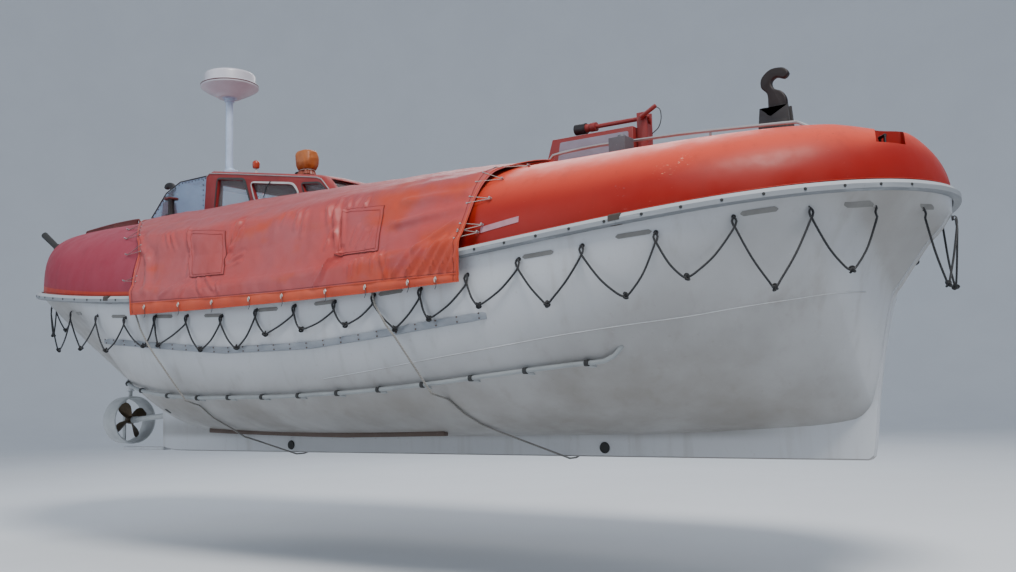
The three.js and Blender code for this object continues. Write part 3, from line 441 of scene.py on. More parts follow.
# Geometry Nodes: fastenings set on points, and sections swept along paths.
class Wires:
    """Adds nodes to a tree and joins them as they come."""

    def __init__(self, tree):
        self.tree = tree

    def feed(self, socket, value):
        if isinstance(value, bpy.types.NodeSocket):
            self.tree.links.new(value, socket)
        else:
            socket.default_value = value

    def add(self, kind, inputs=(), **props):
        node = self.tree.nodes.new(kind)
        for key, value in props.items():
            setattr(node, key, value)
        for key, value in dict(inputs).items():
            self.feed(node.inputs[key], value)
        return node

    def stood(self):
        """The turn that stands a shape along its point's `aim`."""
        aim = self.add("GeometryNodeInputNamedAttribute", {"Name": "aim"}, data_type="FLOAT_VECTOR")
        return self.add("FunctionNodeAlignRotationToVector", {"Vector": aim.outputs[0]},
                        axis="Z").outputs[0]

    def chance(self, low, seed):
        return self.add("FunctionNodeRandomValue", {2: low, 3: 1.0, "Seed": seed},
                        data_type="FLOAT").outputs[1]

    def captured(self, geometry, title, value):
        node = self.add("GeometryNodeCaptureAttribute", {0: geometry})
        node.capture_items.new("FLOAT", title)
        self.tree.links.new(value, node.inputs[1])
        return node.outputs

    def ended(self, geometry, material):
        """Realize what the tree made, give it its finish and hand it out."""
        real = self.add("GeometryNodeRealizeInstances", {"Geometry": geometry})
        done = self.add("GeometryNodeSetMaterial", {
            "Geometry": real.outputs[0], "Material": material})
        self.add("NodeGroupOutput", {"Geometry": done.outputs[0]})
        return self.tree


def tree_with(name, inputs):
    """A new tree, and the sockets of its named inputs."""
    tree = bpy.data.node_groups.new(name, "GeometryNodeTree")
    tree.interface.new_socket("Geometry", in_out="INPUT", socket_type="NodeSocketGeometry")
    for title, kind, value in inputs + [("Finish", "Material", None)]:
        s = tree.interface.new_socket(title, in_out="INPUT", socket_type="NodeSocket" + kind)
        if value is not None:
            s.default_value = value
    tree.interface.new_socket("Geometry", in_out="OUTPUT", socket_type="NodeSocketGeometry")
    w = Wires(tree)
    return w, w.add("NodeGroupInput").outputs


def fastening_tree(name):
    """A turned head on every point, stood along the point's `aim`."""
    w, given = tree_with(name, [
        ("Radius", "Float", 0.01), ("Height", "Float", 0.006), ("Top Radius", "Float", 0.008),
        ("Sides", "Int", 12), ("Size Spread", "Float", 0.06), ("Seed", "Int", 4)])
    cone = w.add("GeometryNodeMeshCone", {
        "Vertices": given["Sides"], "Radius Top": given["Top Radius"],
        "Radius Bottom": given["Radius"], "Depth": given["Height"]})
    spread = w.add("ShaderNodeMath", {
        0: w.chance(0.0, given["Seed"]), 1: given["Size Spread"], 2: 1.0}, operation="MULTIPLY_ADD")
    stand = w.add("GeometryNodeInstanceOnPoints", {
        "Points": given["Geometry"], "Instance": cone.outputs["Mesh"],
        "Rotation": w.stood(), "Scale": spread.outputs[0]})
    return w.ended(stand.outputs[0], given["Finish"])


def setting_tree(name):
    """A given shape on every point, stood along `aim`, with a turn of its own about it."""
    w, given = tree_with(name, [
        ("Shape", "Object", None), ("Size", "Float", 1.0), ("Turn", "Float", 0.0),
        ("Seed", "Int", 2)])
    shape = w.add("GeometryNodeObjectInfo", {"Object": given["Shape"]})
    angle = w.add("ShaderNodeMath", {0: w.chance(-1.0, given["Seed"]), 1: given["Turn"]},
                  operation="MULTIPLY")
    about = w.add("ShaderNodeCombineXYZ", {2: angle.outputs[0]})
    turned = w.add("FunctionNodeEulerToRotation", {0: about.outputs[0]})
    both = w.add("FunctionNodeRotateRotation", {
        "Rotation": w.stood(), "Rotate By": turned.outputs[0]}, rotation_space="LOCAL")
    put = w.add("GeometryNodeInstanceOnPoints", {
        "Points": given["Geometry"], "Instance": shape.outputs["Geometry"],
        "Rotation": both.outputs[0], "Scale": given["Size"]})
    return w.ended(put.outputs[0], given["Finish"])


def sweep_tree(name):
    """A round line, or a drawn section, along every path; its UV runs along and round it."""
    w, given = tree_with(name, [
        ("Radius", "Float", 0.008), ("Sides", "Int", 8), ("Section", "Object", None),
        ("Use Section", "Bool", False)])

    def either(plain, drawn):
        return w.add("GeometryNodeSwitch", {
            "Switch": given["Use Section"], "False": plain.outputs[0], "True": drawn.outputs[0]},
            input_type="GEOMETRY").outputs[0]
    path = w.add("GeometryNodeMeshToCurve", {"Mesh": given["Geometry"]})
    upright = w.add("GeometryNodeSetCurveNormal", {"Curve": path.outputs[0]})
    upright.mode = "Z_UP"
    spline = w.add("GeometryNodeSplineParameter").outputs
    along = w.captured(either(path, upright), "Along", spline["Length"])
    ring = w.add("GeometryNodeCurvePrimitiveCircle", {
        "Resolution": given["Sides"], "Radius": given["Radius"]})
    section = w.add("GeometryNodeObjectInfo", {"Object": given["Section"]})
    outline = w.add("GeometryNodeMeshToCurve", {"Mesh": section.outputs["Geometry"]})
    around = w.captured(either(ring, outline), "Round", spline["Factor"])
    tube = w.add("GeometryNodeCurveToMesh", {
        "Curve": along[0], "Profile Curve": around[0], "Fill Caps": True})
    uv = w.add("ShaderNodeCombineXYZ", {0: along[1], 1: around[1]})
    kept = w.add("GeometryNodeStoreNamedAttribute", {
        "Geometry": tube.outputs[0], "Name": "UVMap", "Value": uv.outputs[0]},
        data_type="FLOAT2", domain="CORNER")
    return w.ended(kept.outputs[0], given["Finish"])


TREES = {"Fastenings": fastening_tree, "Set Pieces": setting_tree, "Swept Lines": sweep_tree}


def grown(obj, mat, tree_name, inputs, angle=35, body="boat"):
    """Run a tree on a mesh and keep what it makes as a finished piece."""
    tree = bpy.data.node_groups.get(tree_name) or TREES[tree_name](tree_name)
    m = obj.modifiers.new(tree_name, "NODES")
    m.node_group = tree
    ids = {s.name: s.identifier for s in tree.interface.items_tree if s.in_out == "INPUT"}
    m[ids["Finish"]] = finish(mat)
    for title, value in inputs.items():
        m[ids[title]] = value
    obj.update_tag()
    settle(obj)
    attributes = obj.data.attributes
    for made in [a.name for a in attributes if a.name in ("aim", "Along", "Round")]:
        attributes.remove(attributes[made])
    face_out(obj)
    shade(obj, angle)
    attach(obj, body)
    return obj


def aimed(name, spots):
    """A mesh of single points, each with the direction that its piece stands along."""
    obj = bare_mesh(name, [p for p, _ in spots])
    a = obj.data.attributes.new("aim", "FLOAT_VECTOR", "POINT")
    a.data.foreach_set("vector", [c for _, n in spots for c in n])
    return obj


def fastenings(name, spots, mat, radius, height, top=None, sides=12):
    """Round heads, one at each spot."""
    return grown(aimed(name, spots), mat, "Fastenings", {
        "Radius": radius, "Height": height, "Top Radius": radius * 0.75 if top is None else top,
        "Sides": sides})


def set_pieces(name, spots, shape, mat, turn=0.0):
    """Copies of a shape, one at each spot."""
    return grown(aimed(name, spots), mat, "Set Pieces", {"Shape": shape, "Turn": turn}, 60)


def path_mesh(name, paths):
    verts, edges = [], []
    for path in paths:
        start = len(verts)
        verts += list(path)
        edges += [(start + i, start + i + 1) for i in range(len(path) - 1)]
    return bare_mesh(name, verts, edges)


def lines(name, paths, radius, mat, sides=8, body="boat"):
    """Round lines along the given rows of points, as one piece."""
    return grown(path_mesh(name, paths), mat, "Swept Lines",
                 {"Radius": radius, "Sides": sides}, 70, body)


# Finishes.
class Finish(Wires):
    """A material built a node at a time round one Principled shader."""

    def __init__(self, name):
        self.mat = bpy.data.materials.new(name)
        self.mat.use_nodes = True
        super().__init__(self.mat.node_tree)
        self.shader = self.tree.nodes["Principled BSDF"]
        self.coords = self.add("ShaderNodeTexCoord").outputs

    def placed(self, scale=(1, 1, 1), turn=(0, 0, 0), source="Object"):
        return self.add("ShaderNodeMapping", {
            "Vector": self.coords[source], "Scale": scale, "Rotation": turn}).outputs[0]

    def noise(self, scale, detail=4.0, where=None, rough=0.55):
        return self.add("ShaderNodeTexNoise", {
            "Vector": where or self.coords["Object"], "Scale": scale, "Detail": detail,
            "Roughness": rough}).outputs["Fac"]

    def step(self, value, low, high, to=(0.0, 1.0)):
        return self.add("ShaderNodeMapRange", {
            "Value": value, 1: low, 2: high, 3: to[0], 4: to[1]},
            interpolation_type="SMOOTHSTEP").outputs[0]

    def math(self, op, a, b=0.0):
        return self.add("ShaderNodeMath", {0: a, 1: b}, operation=op).outputs[0]

    def times(self, a, b):
        return self.math("MULTIPLY", a, b)

    def mix(self, share, a, b):
        a, b = [v if isinstance(v, bpy.types.NodeSocket) else (*v, 1) for v in (a, b)]
        return self.add("ShaderNodeMix", {0: share, 6: a, 7: b}, data_type="RGBA").outputs[2]

    def axis(self, i, source="Object"):
        return self.add("ShaderNodeSeparateXYZ", {0: self.coords[source]}).outputs[i]

    def away(self, spot):
        return self.add("ShaderNodeVectorMath", {0: self.coords["Object"], 1: spot},
                        operation="DISTANCE").outputs["Value"]

    def facing_up(self):
        geo = self.add("ShaderNodeNewGeometry")
        return self.add("ShaderNodeSeparateXYZ", {0: geo.outputs["Normal"]}).outputs[2]

    def bump(self, height, strength, distance=0.002, under=None):
        inputs = {"Strength": strength, "Distance": distance, "Height": height}
        if under is not None:
            inputs["Normal"] = under
        return self.add("ShaderNodeBump", inputs).outputs[0]

    def set(self, **sockets):
        for key, value in sockets.items():
            self.feed(self.shader.inputs[key.replace("_", " ")], value)
        return self.mat


FINISHES = {}


def finish(name):
    """The named finish, made the first time that it is asked for."""
    if name not in FINISHES:
        if name in PAINTED:
            FINISHES[name] = painted(name, *PAINTED[name])
        else:
            FINISHES[name] = MAKERS[name](name, bpy.context.scene.lifeboat_colours)
    return FINISHES[name]


def gelcoat(name, base, faded, grime, rough, fade=0.5, runs=0.3, foul_and_shade=0.0, scrapes=(),
            highlight_and_bleach=None):
    """Moulded resin: chalky fading, runs of dirt, scuffs, a fouled bottom with painted shade on
    faces turned down, an optional painted highlight on faces turned up, and a soft shine.
    """
    f = Finish(name)
    broad = f.noise(0.8, 4)
    fine = f.noise(22, 5)
    run = f.noise(7, 5, f.placed((1, 1, 0.09)))
    scuff = f.noise(15, 3, f.placed((1, 1, 5), (0.2, 0.35, 0)))
    up = f.step(f.facing_up(), 0.1, 0.95)
    worn = f.times(f.math("ADD", f.times(up, 0.45), f.step(broad, 0.35, 0.68)), fade)
    colour = f.mix(worn, base, faded)
    # Painted highlight: faces turned up are lightened towards the given colour.
    if highlight_and_bleach:
        colour = f.mix(f.step(f.facing_up(), 0.3, 0.9, (0.0, 0.8)), colour, highlight_and_bleach)
    colour = f.mix(f.times(f.step(run, 0.52, 0.78), runs), colour, grime)
    colour = f.mix(f.times(f.step(fine, 0.6, 0.8), 0.22), colour, grime)
    light = [min(c * 1.5 + 0.12, 0.8) for c in base]
    colour = f.mix(f.times(f.step(scuff, 0.71, 0.76), 0.35), colour, light)
    # Darker towards the keel and on faces turned down: fouling, with painted shade under the turn
    # of the bilge.
    if foul_and_shade:
        under = f.step(f.facing_up(), -0.05, -0.8)
        low = f.times(f.step(f.axis(2), -0.2, -0.42), f.step(f.axis(2), -0.56, -0.46))
        low = f.times(low, f.step(f.axis(0), 4.7, 3.6, (0.0, 0.7)))
        patchy = f.step(f.noise(1.6, 5), 0.25, 0.75, (0.7, 1.0))
        fouling_and_shade = f.times(f.math("MAXIMUM", under, low), patchy)
        colour = f.mix(f.times(fouling_and_shade, foul_and_shade), colour, [v * 0.6 for v in grime])
    for spot, reach, scraped in scrapes:
        near = f.step(f.away(spot), reach, reach * 0.3)
        dash = f.step(f.noise(62, 3, f.placed((0.45, 1, 1.5), (0.35, 0.9, 0))), 0.63, 0.66)
        colour = f.mix(f.times(near, f.times(dash, 0.9)), colour, scraped)
    shine = f.step(f.noise(5, 4), 0.2, 0.8, (rough - 0.07, rough + 0.13))
    orange_peel = f.bump(f.noise(140, 2), 0.05, 0.001, f.bump(f.noise(3, 3), 0.12, 0.01))
    return f.set(Base_Color=colour, Roughness=shine, Normal=orange_peel, Coat_Weight=0.03,
                 Coat_Roughness=0.25, Specular_IOR_Level=0.3)


def coated_cloth(name, base, faded, deep, fresh=None, dust_and_shade=None):
    """Coated woven cloth: threads, sun fading, dirt in its folds, and dust with painted shade where
    it lies flat.
    """
    f = Finish(name)
    uv = f.placed(source="UV")
    weft = f.add("ShaderNodeTexWave", {"Vector": uv, "Scale": 130.0}, bands_direction="X")
    warp = f.add("ShaderNodeTexWave", {"Vector": uv, "Scale": 130.0}, bands_direction="Y")
    threads = f.math("ADD", weft.outputs["Fac"], warp.outputs["Fac"])
    broad = f.noise(1.1, 5)
    mottled = f.noise(9, 5)
    streak = f.noise(4, 5, f.placed((1.4, 1, 0.25)))
    colour = f.mix(f.step(broad, 0.3, 0.72), base, faded)
    if fresh:
        bias = f.math("ADD", f.noise(1.5, 4, f.placed((1, 1, 1.7))),
                      f.step(f.axis(0), 0.3, 2.4, (0.0, 0.2)))
        colour = f.mix(f.step(bias, 0.56, 0.76, (0.0, 0.9)), colour, fresh)
    # Dust with painted shade: high on the cloth, from the knee up where it lies flatter, it turns a
    # darker, greyer mauve.
    if dust_and_shade:
        flat = f.step(f.axis(1, "UV"), 0.92, 1.04, (0.0, 0.6))
        colour = f.mix(f.times(flat, f.step(streak, 0.3, 0.7, (0.5, 1.0))), colour, dust_and_shade)
    colour = f.mix(f.times(f.step(streak, 0.5, 0.78), 0.35), colour, deep)
    colour = f.mix(f.times(f.step(mottled, 0.62, 0.8), 0.2), colour, faded)
    crease = f.bump(f.noise(26, 6, f.placed((1, 1, 0.5))), 0.2, 0.006,
                    f.bump(f.noise(7, 4, f.placed((1.3, 1, 0.4))), 0.16, 0.02))
    woven = f.bump(threads, 0.12, 0.0006, crease)
    shine = f.step(mottled, 0.2, 0.8, (0.42, 0.6))
    return f.set(Base_Color=colour, Roughness=shine, Normal=woven, Sheen_Weight=0.08,
                 Sheen_Roughness=0.4)


def painted(name, base, worn, rough, metal=0.0, chips=0.3, bump=0.1, scale=1.0):
    """Paint, bare metal or rubber with dull patches and chips."""
    f = Finish(name)
    patch = f.noise(6 * scale, 5)
    chip = f.noise(42 * scale, 6, rough=0.7)
    colour = f.mix(f.step(patch, 0.35, 0.75), base, [c * 0.82 + 0.01 for c in base])
    colour = f.mix(f.times(f.step(chip, 0.62, 0.7), chips), colour, worn)
    shine = f.step(patch, 0.2, 0.8, (max(rough - 0.1, 0.05), min(rough + 0.15, 1)))
    return f.set(Base_Color=colour, Roughness=shine, Metallic=metal,
                 Normal=f.bump(f.noise(90 * scale, 3), bump, 0.001))


def clear(name, tint, rough, haze):
    """Clear sheet with a light haze of salt and fine scratches."""
    f = Finish(name)
    salt = f.noise(11, 6)
    drift = f.noise(2.2, 3)
    shine = f.step(salt, 0.3, 0.8, (rough, rough + haze))
    colour = f.mix(f.step(drift, 0.3, 0.7), tint, [min(c * 1.08, 1) for c in tint])
    return f.set(Base_Color=colour, Roughness=shine, Transmission_Weight=0.92, IOR=1.05,
                 Normal=f.bump(drift, 0.1, 0.004))


def laid_rope(name, base, worn):
    """Three strands laid round each other, with painted shade in the grooves between them, fluff
    and salt.
    """
    f = Finish(name)
    along = f.axis(0, "UV")
    around = f.axis(1, "UV")
    phase = f.math("ADD", f.times(along, 115.0), f.times(around, 18.85))
    strand = f.math("ABSOLUTE", f.math("SINE", phase))
    salt = f.noise(60, 5)
    # Painted shade: the grooves between the strands are darkened.
    colour = f.mix(strand, [c * 0.35 for c in base], base)
    colour = f.mix(f.times(f.step(salt, 0.55, 0.8), 0.6), colour, worn)
    fluff = f.bump(f.noise(900, 3), 0.25, 0.0006, f.bump(strand, 0.9, 0.003))
    return f.set(Base_Color=colour, Roughness=0.85, Normal=fluff, Sheen_Weight=0.2)


def rail_finish(name, colours):
    """Grey rubbing strake: a painted highlight on its upper face and painted shade on its lower
    bevel, with pale smears and dark specks.
    """
    f = Finish(name)
    up = f.step(f.facing_up(), -0.35, 0.1)
    smear = f.noise(5, 6, f.placed((0.5, 0.5, 6)))
    speck = f.noise(60, 4)
    highlight_and_bleach = [min(c * 1.5 + 0.05, 0.9) for c in colours.rail]
    # Painted shade on faces turned down, the lower bevel, and a painted highlight on faces turned
    # up.
    colour = f.mix(up, [c * 0.62 for c in colours.rail], colours.rail)
    colour = f.mix(f.times(f.step(f.facing_up(), 0.3, 0.9), 0.7), colour, highlight_and_bleach)
    colour = f.mix(f.times(f.step(smear, 0.5, 0.75), 0.4), colour, highlight_and_bleach)
    colour = f.mix(f.times(f.step(speck, 0.62, 0.8), 0.4), colour, (0.12, 0.11, 0.1))
    return f.set(Base_Color=colour, Roughness=f.step(smear, 0.2, 0.8, (0.42, 0.66)),
                 Normal=f.bump(f.noise(80, 3), 0.15, 0.001))


def floor_finish(name, colours):
    f = Finish(name)
    colour = f.mix(f.step(f.noise(0.4, 3), 0.3, 0.7), colours.floor,
                   [c * 0.97 for c in colours.floor])
    return f.set(Base_Color=colour, Roughness=0.8)


# Scraped spots on the bow canopy: place, reach and the colour that shows.
SCRAPES = [
    ((4.06, -1.6, 1.55), 0.12, (0.55, 0.2, 0.12)), ((4.21, -1.54, 1.62), 0.1, (0.6, 0.3, 0.22)),
    ((3.735, -1.734, 1.42), 0.09, (0.2, 0.1, 0.11)), ((5.07, -0.95, 1.8), 0.16, (0.16, 0.03, 0.02)),
]
# Paint, metal and rubber: colour, worn colour, roughness, then metal, chips, bump and scale
# where they differ from the plain ones.
PAINTED = {
    "Faint Stitching": ((0.3, 0.05, 0.04), (0.2, 0.035, 0.03), 0.8, 0, 0.3, 0.4, 4),
    "Stitching": ((0.1, 0.016, 0.014), (0.05, 0.012, 0.01), 0.8, 0, 0.3, 0.4, 4),
    "Strake Grey": ((0.24, 0.265, 0.3), (0.42, 0.43, 0.44), 0.6, 0, 0.45, 0.2),
    "Pad Grey": ((0.17, 0.168, 0.162), (0.26, 0.255, 0.25), 0.5, 0, 0.4, 0.3, 2),
    "Strap Brown": ((0.05, 0.038, 0.032), (0.1, 0.08, 0.07), 0.55, 0, 0.5, 0.3, 2),
    "Pipe White": ((0.27, 0.29, 0.3), (0.16, 0.14, 0.12), 0.5, 0, 0.4),
    "White Paint": ((0.42, 0.44, 0.45), (0.25, 0.22, 0.18), 0.45, 0, 0.35),
    "Dome Plastic": ((0.5, 0.5, 0.56), (0.5, 0.5, 0.5), 0.35, 0, 0.12, 0.05, 0.6),
    "Mast Paint": ((0.4, 0.5, 0.66), (0.36, 0.38, 0.4), 0.4, 0, 0.15, 0.05, 1.5),
    "Rim Stripe": ((0.08, 0.025, 0.03), (0.2, 0.1, 0.1), 0.45, 0, 0.3),
    "Bar Brown": ((0.075, 0.05, 0.04), (0.2, 0.17, 0.15), 0.7, 0, 0.5, 0.3),
    "Red Steel": ((0.2, 0.014, 0.013), (0.07, 0.03, 0.03), 0.45, 0, 0.5),
    "Dark Red Steel": ((0.12, 0.016, 0.013), (0.2, 0.08, 0.05), 0.5, 0, 0.5),
    "Black Steel": ((0.012, 0.011, 0.014), (0.075, 0.065, 0.065), 0.5, 0.2, 0.55),
    "Post Black": ((0.008, 0.005, 0.006), (0.03, 0.015, 0.016), 0.5, 0, 0.4),
    "Worn Jaw": ((0.012, 0.008, 0.009), (0.06, 0.04, 0.032), 0.5, 0.3, 0.5),
    "Rail Steel": ((0.34, 0.34, 0.35), (0.2, 0.14, 0.11), 0.4, 0.5, 0.3),
    "Bronze": ((0.1, 0.075, 0.05), (0.25, 0.2, 0.14), 0.4, 0.85, 0.5),
    "Zinc": ((0.42, 0.43, 0.44), (0.22, 0.17, 0.13), 0.42, 0.7, 0.3),
    "Box Grey": ((0.085, 0.085, 0.1), (0.28, 0.29, 0.3), 0.5, 0.1, 0.35),
    "Lamp Lens": ((0.34, 0.03, 0.006), (0.5, 0.14, 0.04), 0.3, 0, 0.3),
    "Bare Plate": ((0.21, 0.2, 0.26), (0.14, 0.12, 0.15), 0.45, 0, 0.3),
    "Label Strip": ((0.4, 0.2, 0.24), (0.5, 0.36, 0.4), 0.45, 0, 0.3, 0.05, 3),
    "Black Rubber": ((0.018, 0.019, 0.02), (0.09, 0.09, 0.09), 0.7, 0, 0.25, 0.2, 1.6),
    "Gasket": ((0.02, 0.021, 0.023), (0.07, 0.07, 0.07), 0.6, 0, 0.25, 0.2, 1.6),
    "Cushion Black": ((0.03, 0.03, 0.033), (0.08, 0.08, 0.08), 0.6, 0, 0.25, 0.2, 1.6),
}
MAKERS = {
    "Foot Band": lambda n, c: gelcoat(
        n, c.band, (0.5, 0.09, 0.05), (0.16, 0.03, 0.02), 0.4, 0.5, 0.3),
    "Hull Gelcoat": lambda n, c: gelcoat(
        n, c.hull, [v * 0.93 for v in c.hull], (0.24, 0.21, 0.17), 0.36, 0.6, 0.26, 0.8),
    # The bow canopy's last colour is a painted highlight on its faces turned up.
    "Canopy Gelcoat": lambda n, c: gelcoat(
        n, c.canopy, (0.31, 0.02, 0.01), (0.13, 0.012, 0.008), 0.44, 0.35, 0.2, 0, SCRAPES,
        (0.66, 0.075, 0.036)),
    "Stern Gelcoat": lambda n, c: gelcoat(
        n, c.stern, (0.34, 0.075, 0.105), (0.14, 0.012, 0.02), 0.48, 0.5, 0.3),
    "House Red": lambda n, c: gelcoat(
        n, c.house, (0.36, 0.04, 0.03), (0.1, 0.012, 0.01), 0.42, 0.35, 0.3),
    # The covers' last colour is dust with painted shade, high on the cloth.
    "Cover Cloth": lambda n, c: coated_cloth(
        n, c.cover, (0.34, 0.065, 0.072), (0.24, 0.018, 0.012), (0.42, 0.04, 0.01),
        (0.235, 0.056, 0.07)),
    "Hem Cloth": lambda n, c: coated_cloth(n, c.hem, (0.52, 0.07, 0.02), (0.34, 0.03, 0.006)),
    "Hood Cloth": lambda n, c: coated_cloth(
        n, (0.27, 0.055, 0.006), (0.34, 0.1, 0.018), (0.1, 0.02, 0.006)),
    # A darker copy of the hood's cloth: painted shade on its neck.
    "Hood Foot": lambda n, c: coated_cloth(
        n, (0.16, 0.02, 0.012), (0.24, 0.05, 0.02), (0.07, 0.012, 0.008)),
    "Rail Grey": rail_finish,
    "Window Glass": lambda n, c: clear(n, (0.86, 0.92, 0.96), 0.02, 0.06),
    "Clear Sheet": lambda n, c: clear(n, (0.66, 0.76, 0.88), 0.06, 0.22),
    "Grab Rope": lambda n, c: laid_rope(n, c.rope, (0.045, 0.045, 0.055)),
    "Pale Rope": lambda n, c: laid_rope(n, (0.3, 0.29, 0.27), (0.42, 0.41, 0.38)),
    "White Cord": lambda n, c: laid_rope(n, (0.62, 0.56, 0.52), (0.7, 0.68, 0.64)),
    "Red Cord": lambda n, c: laid_rope(n, (0.42, 0.2, 0.2), (0.5, 0.32, 0.3)),
    "Floor": floor_finish,
}


# The view and the stage.
def place_camera():
    """The photograph's viewpoint, below the rail and looking up along the side."""
    spot = (7.378, -8.361, -0.13)
    yaw, pitch, roll, focal = 0.6173, 0.1117, -0.0253, 1001.0  # radians, and pixels
    ahead = Vector((-math.sin(yaw) * math.cos(pitch), math.cos(yaw) * math.cos(pitch),
                    math.sin(pitch)))
    level = Vector((math.cos(yaw), math.sin(yaw), 0))
    up = level.cross(ahead)
    right = math.cos(roll) * level + math.sin(roll) * up
    up = -math.sin(roll) * level + math.cos(roll) * up
    cam = bpy.data.cameras.new("view")
    cam.sensor_width = 36
    cam.lens = 36 * focal / IMAGE[0]
    cam.clip_start, cam.clip_end = 0.1, 400
    obj = bpy.data.objects.new("view", cam)
    turn = Matrix((right, up, -ahead)).transposed().to_4x4()
    obj.matrix_world = Matrix.Translation(spot) @ turn
    bpy.context.scene.collection.objects.link(obj)
    bpy.context.scene.camera = obj


def lamp(name, spot, target, size, power, colour=(1, 1, 1)):
    data = bpy.data.lights.new(name, "AREA")
    data.shape, data.size, data.energy, data.color = "DISK", size, power, colour
    obj = bpy.data.objects.new(name, data)
    obj.location = spot
    aim = Vector(target) - Vector(spot)
    obj.rotation_euler = aim.to_track_quat("-Z", "Y").to_euler()
    bpy.context.scene.collection.objects.link(obj)


def build_stage():
    """A pale floor that turns up far off into its own backdrop, and soft light."""
    rings = []
    for r, z in [(0.01, 0), (8, 0), (20, 0), (36, 0), (41, 0.6), (45, 2.4), (48, 5.4), (50, 10),
                 (51, 17), (51, 34)]:
        rings.append([(r * math.cos(a), r * math.sin(a), FLOOR + z)
                      for a in np.linspace(0, 2 * math.pi, 96, endpoint=False)])
    verts, faces = skin(rings, caps=False)
    floor = new_piece("floor", verts, faces, None)
    paint(floor, "Floor")
    world = bpy.data.worlds.new("studio")
    world.use_nodes = True
    back = world.node_tree.nodes["Background"]
    back.inputs["Color"].default_value = (0.66, 0.73, 0.83, 1)
    back.inputs["Strength"].default_value = 0.66
    bpy.context.scene.world = world
    lamp("sky_key", (11, -8, 18), (0, 0, 0.4), 8, 5200, (1, 0.97, 0.92))
    lamp("fill", (-10, -16, 8), (-1, 0, 0.5), 14, 900, (0.88, 0.94, 1))
    lamp("far_side", (-8, 15, 14), (0, 0, 0.5), 12, 1300)


# Ropes.
def eye_at(x, drop, side):
    return on_hull(x, sheer(x) - drop, ROPE_OFF, side)


def hung_line(eyes, hangs, loop):
    """A line through its eyes: a loop drawn together at each eye, and bights between them."""
    route, knots = [], []
    down = Vector((0, 0, -1))
    for i, e in enumerate(eyes):
        a, b = eyes[max(i - 1, 0)], eyes[min(i + 1, len(eyes) - 1)]
        t = Vector((b.x - a.x, b.y - a.y, 0)).normalized()
        neck = e + down * loop * 1.05
        if i:
            route += [neck + down * loop * 0.5 - t * loop * 0.2, neck - t * loop * 0.11,
                      e + down * loop * 0.5 - t * loop * 0.28]
        route.append(e)
        if i < len(eyes) - 1:
            route += [e + down * loop * 0.5 + t * loop * 0.28, neck + t * loop * 0.11,
                      neck + down * loop * 0.5 + t * loop * 0.2]
            share, drop = hangs[i]
            low = e.lerp(b, share)
            low.z = sheer(low.x) - drop - DRAFT
            start, end = neck + down * loop * 0.5, b + down * loop * 1.55
            fall = low.z - e.z
            sag = Vector((0, 0, fall * (0.115 if i % 3 else 0.05)))
            route += [start.lerp(low, 0.42) + sag, start.lerp(low, 0.82) + sag * 0.85, low,
                      low.lerp(end, 0.18) + sag * 0.7, low.lerp(end, 0.58) + sag]
            knots.append((low, (b - e).normalized()))
    return route, knots


def knot_shape(radius):
    """A small overhand knot, as a tube on a trefoil."""
    turns = [t * 2 * math.pi / 44 for t in range(44)]
    centre = [Vector((math.sin(t) + 2 * math.sin(2 * t), math.cos(t) - 2 * math.cos(2 * t),
                      -1.6 * math.sin(3 * t))) * radius * 0.92 for t in turns]
    rings = []
    n = len(centre)
    for i, c in enumerate(centre):
        t = (centre[(i + 1) % n] - centre[i - 1]).normalized()
        u = t.orthogonal().normalized() if i == 0 else (u - t * u.dot(t)).normalized()
        v = t.cross(u)
        rings.append([c + radius * (math.cos(a) * u + math.sin(a) * v)
                      for a in np.linspace(0, 2 * math.pi, 6, endpoint=False)])
    return closed_shape("knot", rings, True)


def ring_shape(major, minor):
    """A ring standing on its edge, for an eye."""
    rings = []
    for a in np.linspace(0, 2 * math.pi, 20, endpoint=False):
        c = Vector((major * math.cos(a), 0, major * (1 + math.sin(a))))
        d = Vector((math.cos(a), 0, math.sin(a)))
        rings.append([c + minor * (math.cos(b) * d + math.sin(b) * Vector((0, 1, 0)))
                      for b in np.linspace(0, 2 * math.pi, 8, endpoint=False)])
    return closed_shape("eye", rings, True)


def grab_routes():
    """The eyes of the three grab lines, and the share and drop of each bight."""
    rows = {}
    for name, side in SIDES:
        hangs = [(share, drop) for _, _, share, drop in GRAB_SIDE[:-1]]
        if side > 0:
            hangs[-1] = (hangs[-1][0], PORT_LAST_DROP)
        rows["grab_line_" + name] = [eye_at(x, d, side) for x, d, _, _ in GRAB_SIDE], hangs
    ends = [eye_at(5.602, 0.182, side) for _, side in SIDES]
    rows["grab_line_bow"] = [ends[0], place(*STEM_EYE), ends[1]], [(0.6, 0.766), (0.4, 0.766)]
    return rows


def make_grab_lines(sizes):
    knot = knot_shape(sizes.rope * 0.5)
    rows = grab_routes()
    spots = []
    for name, (eyes, hangs) in rows.items():
        route, knots = hung_line(eyes, hangs, sizes.loop)
        path = smooth_path(route, 0.012)
        rope = lines(name + "_rope", [path], sizes.rope / 2, "Grab Rope", 8)
        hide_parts(name)
        spots += knots
    set_pieces("grab_line_knots", spots, knot, "Grab Rope", math.pi)
    bpy.data.objects.remove(knot)
    ring = ring_shape(sizes.eye, EYE_WIRE / 2)
    feet = []
    for row, _ in rows.values():
        for p in row:
            if abs(p.y) < 0.01:
                n = Vector((1, 0, 0))
            else:
                n = hull_normal(p.x, p.z + DRAFT, math.copysign(1, p.y))
            feet.append((p - n * (ROPE_OFF + 0.002), n))
    set_pieces("grab_line_eyes", feet, ring, "Black Steel")
    fastenings("grab_eye_plates", [(p - n * 0.004, n) for p, n in feet], "Black Steel",
               0.022, 0.012, 0.016, 14)
    bpy.data.objects.remove(ring)


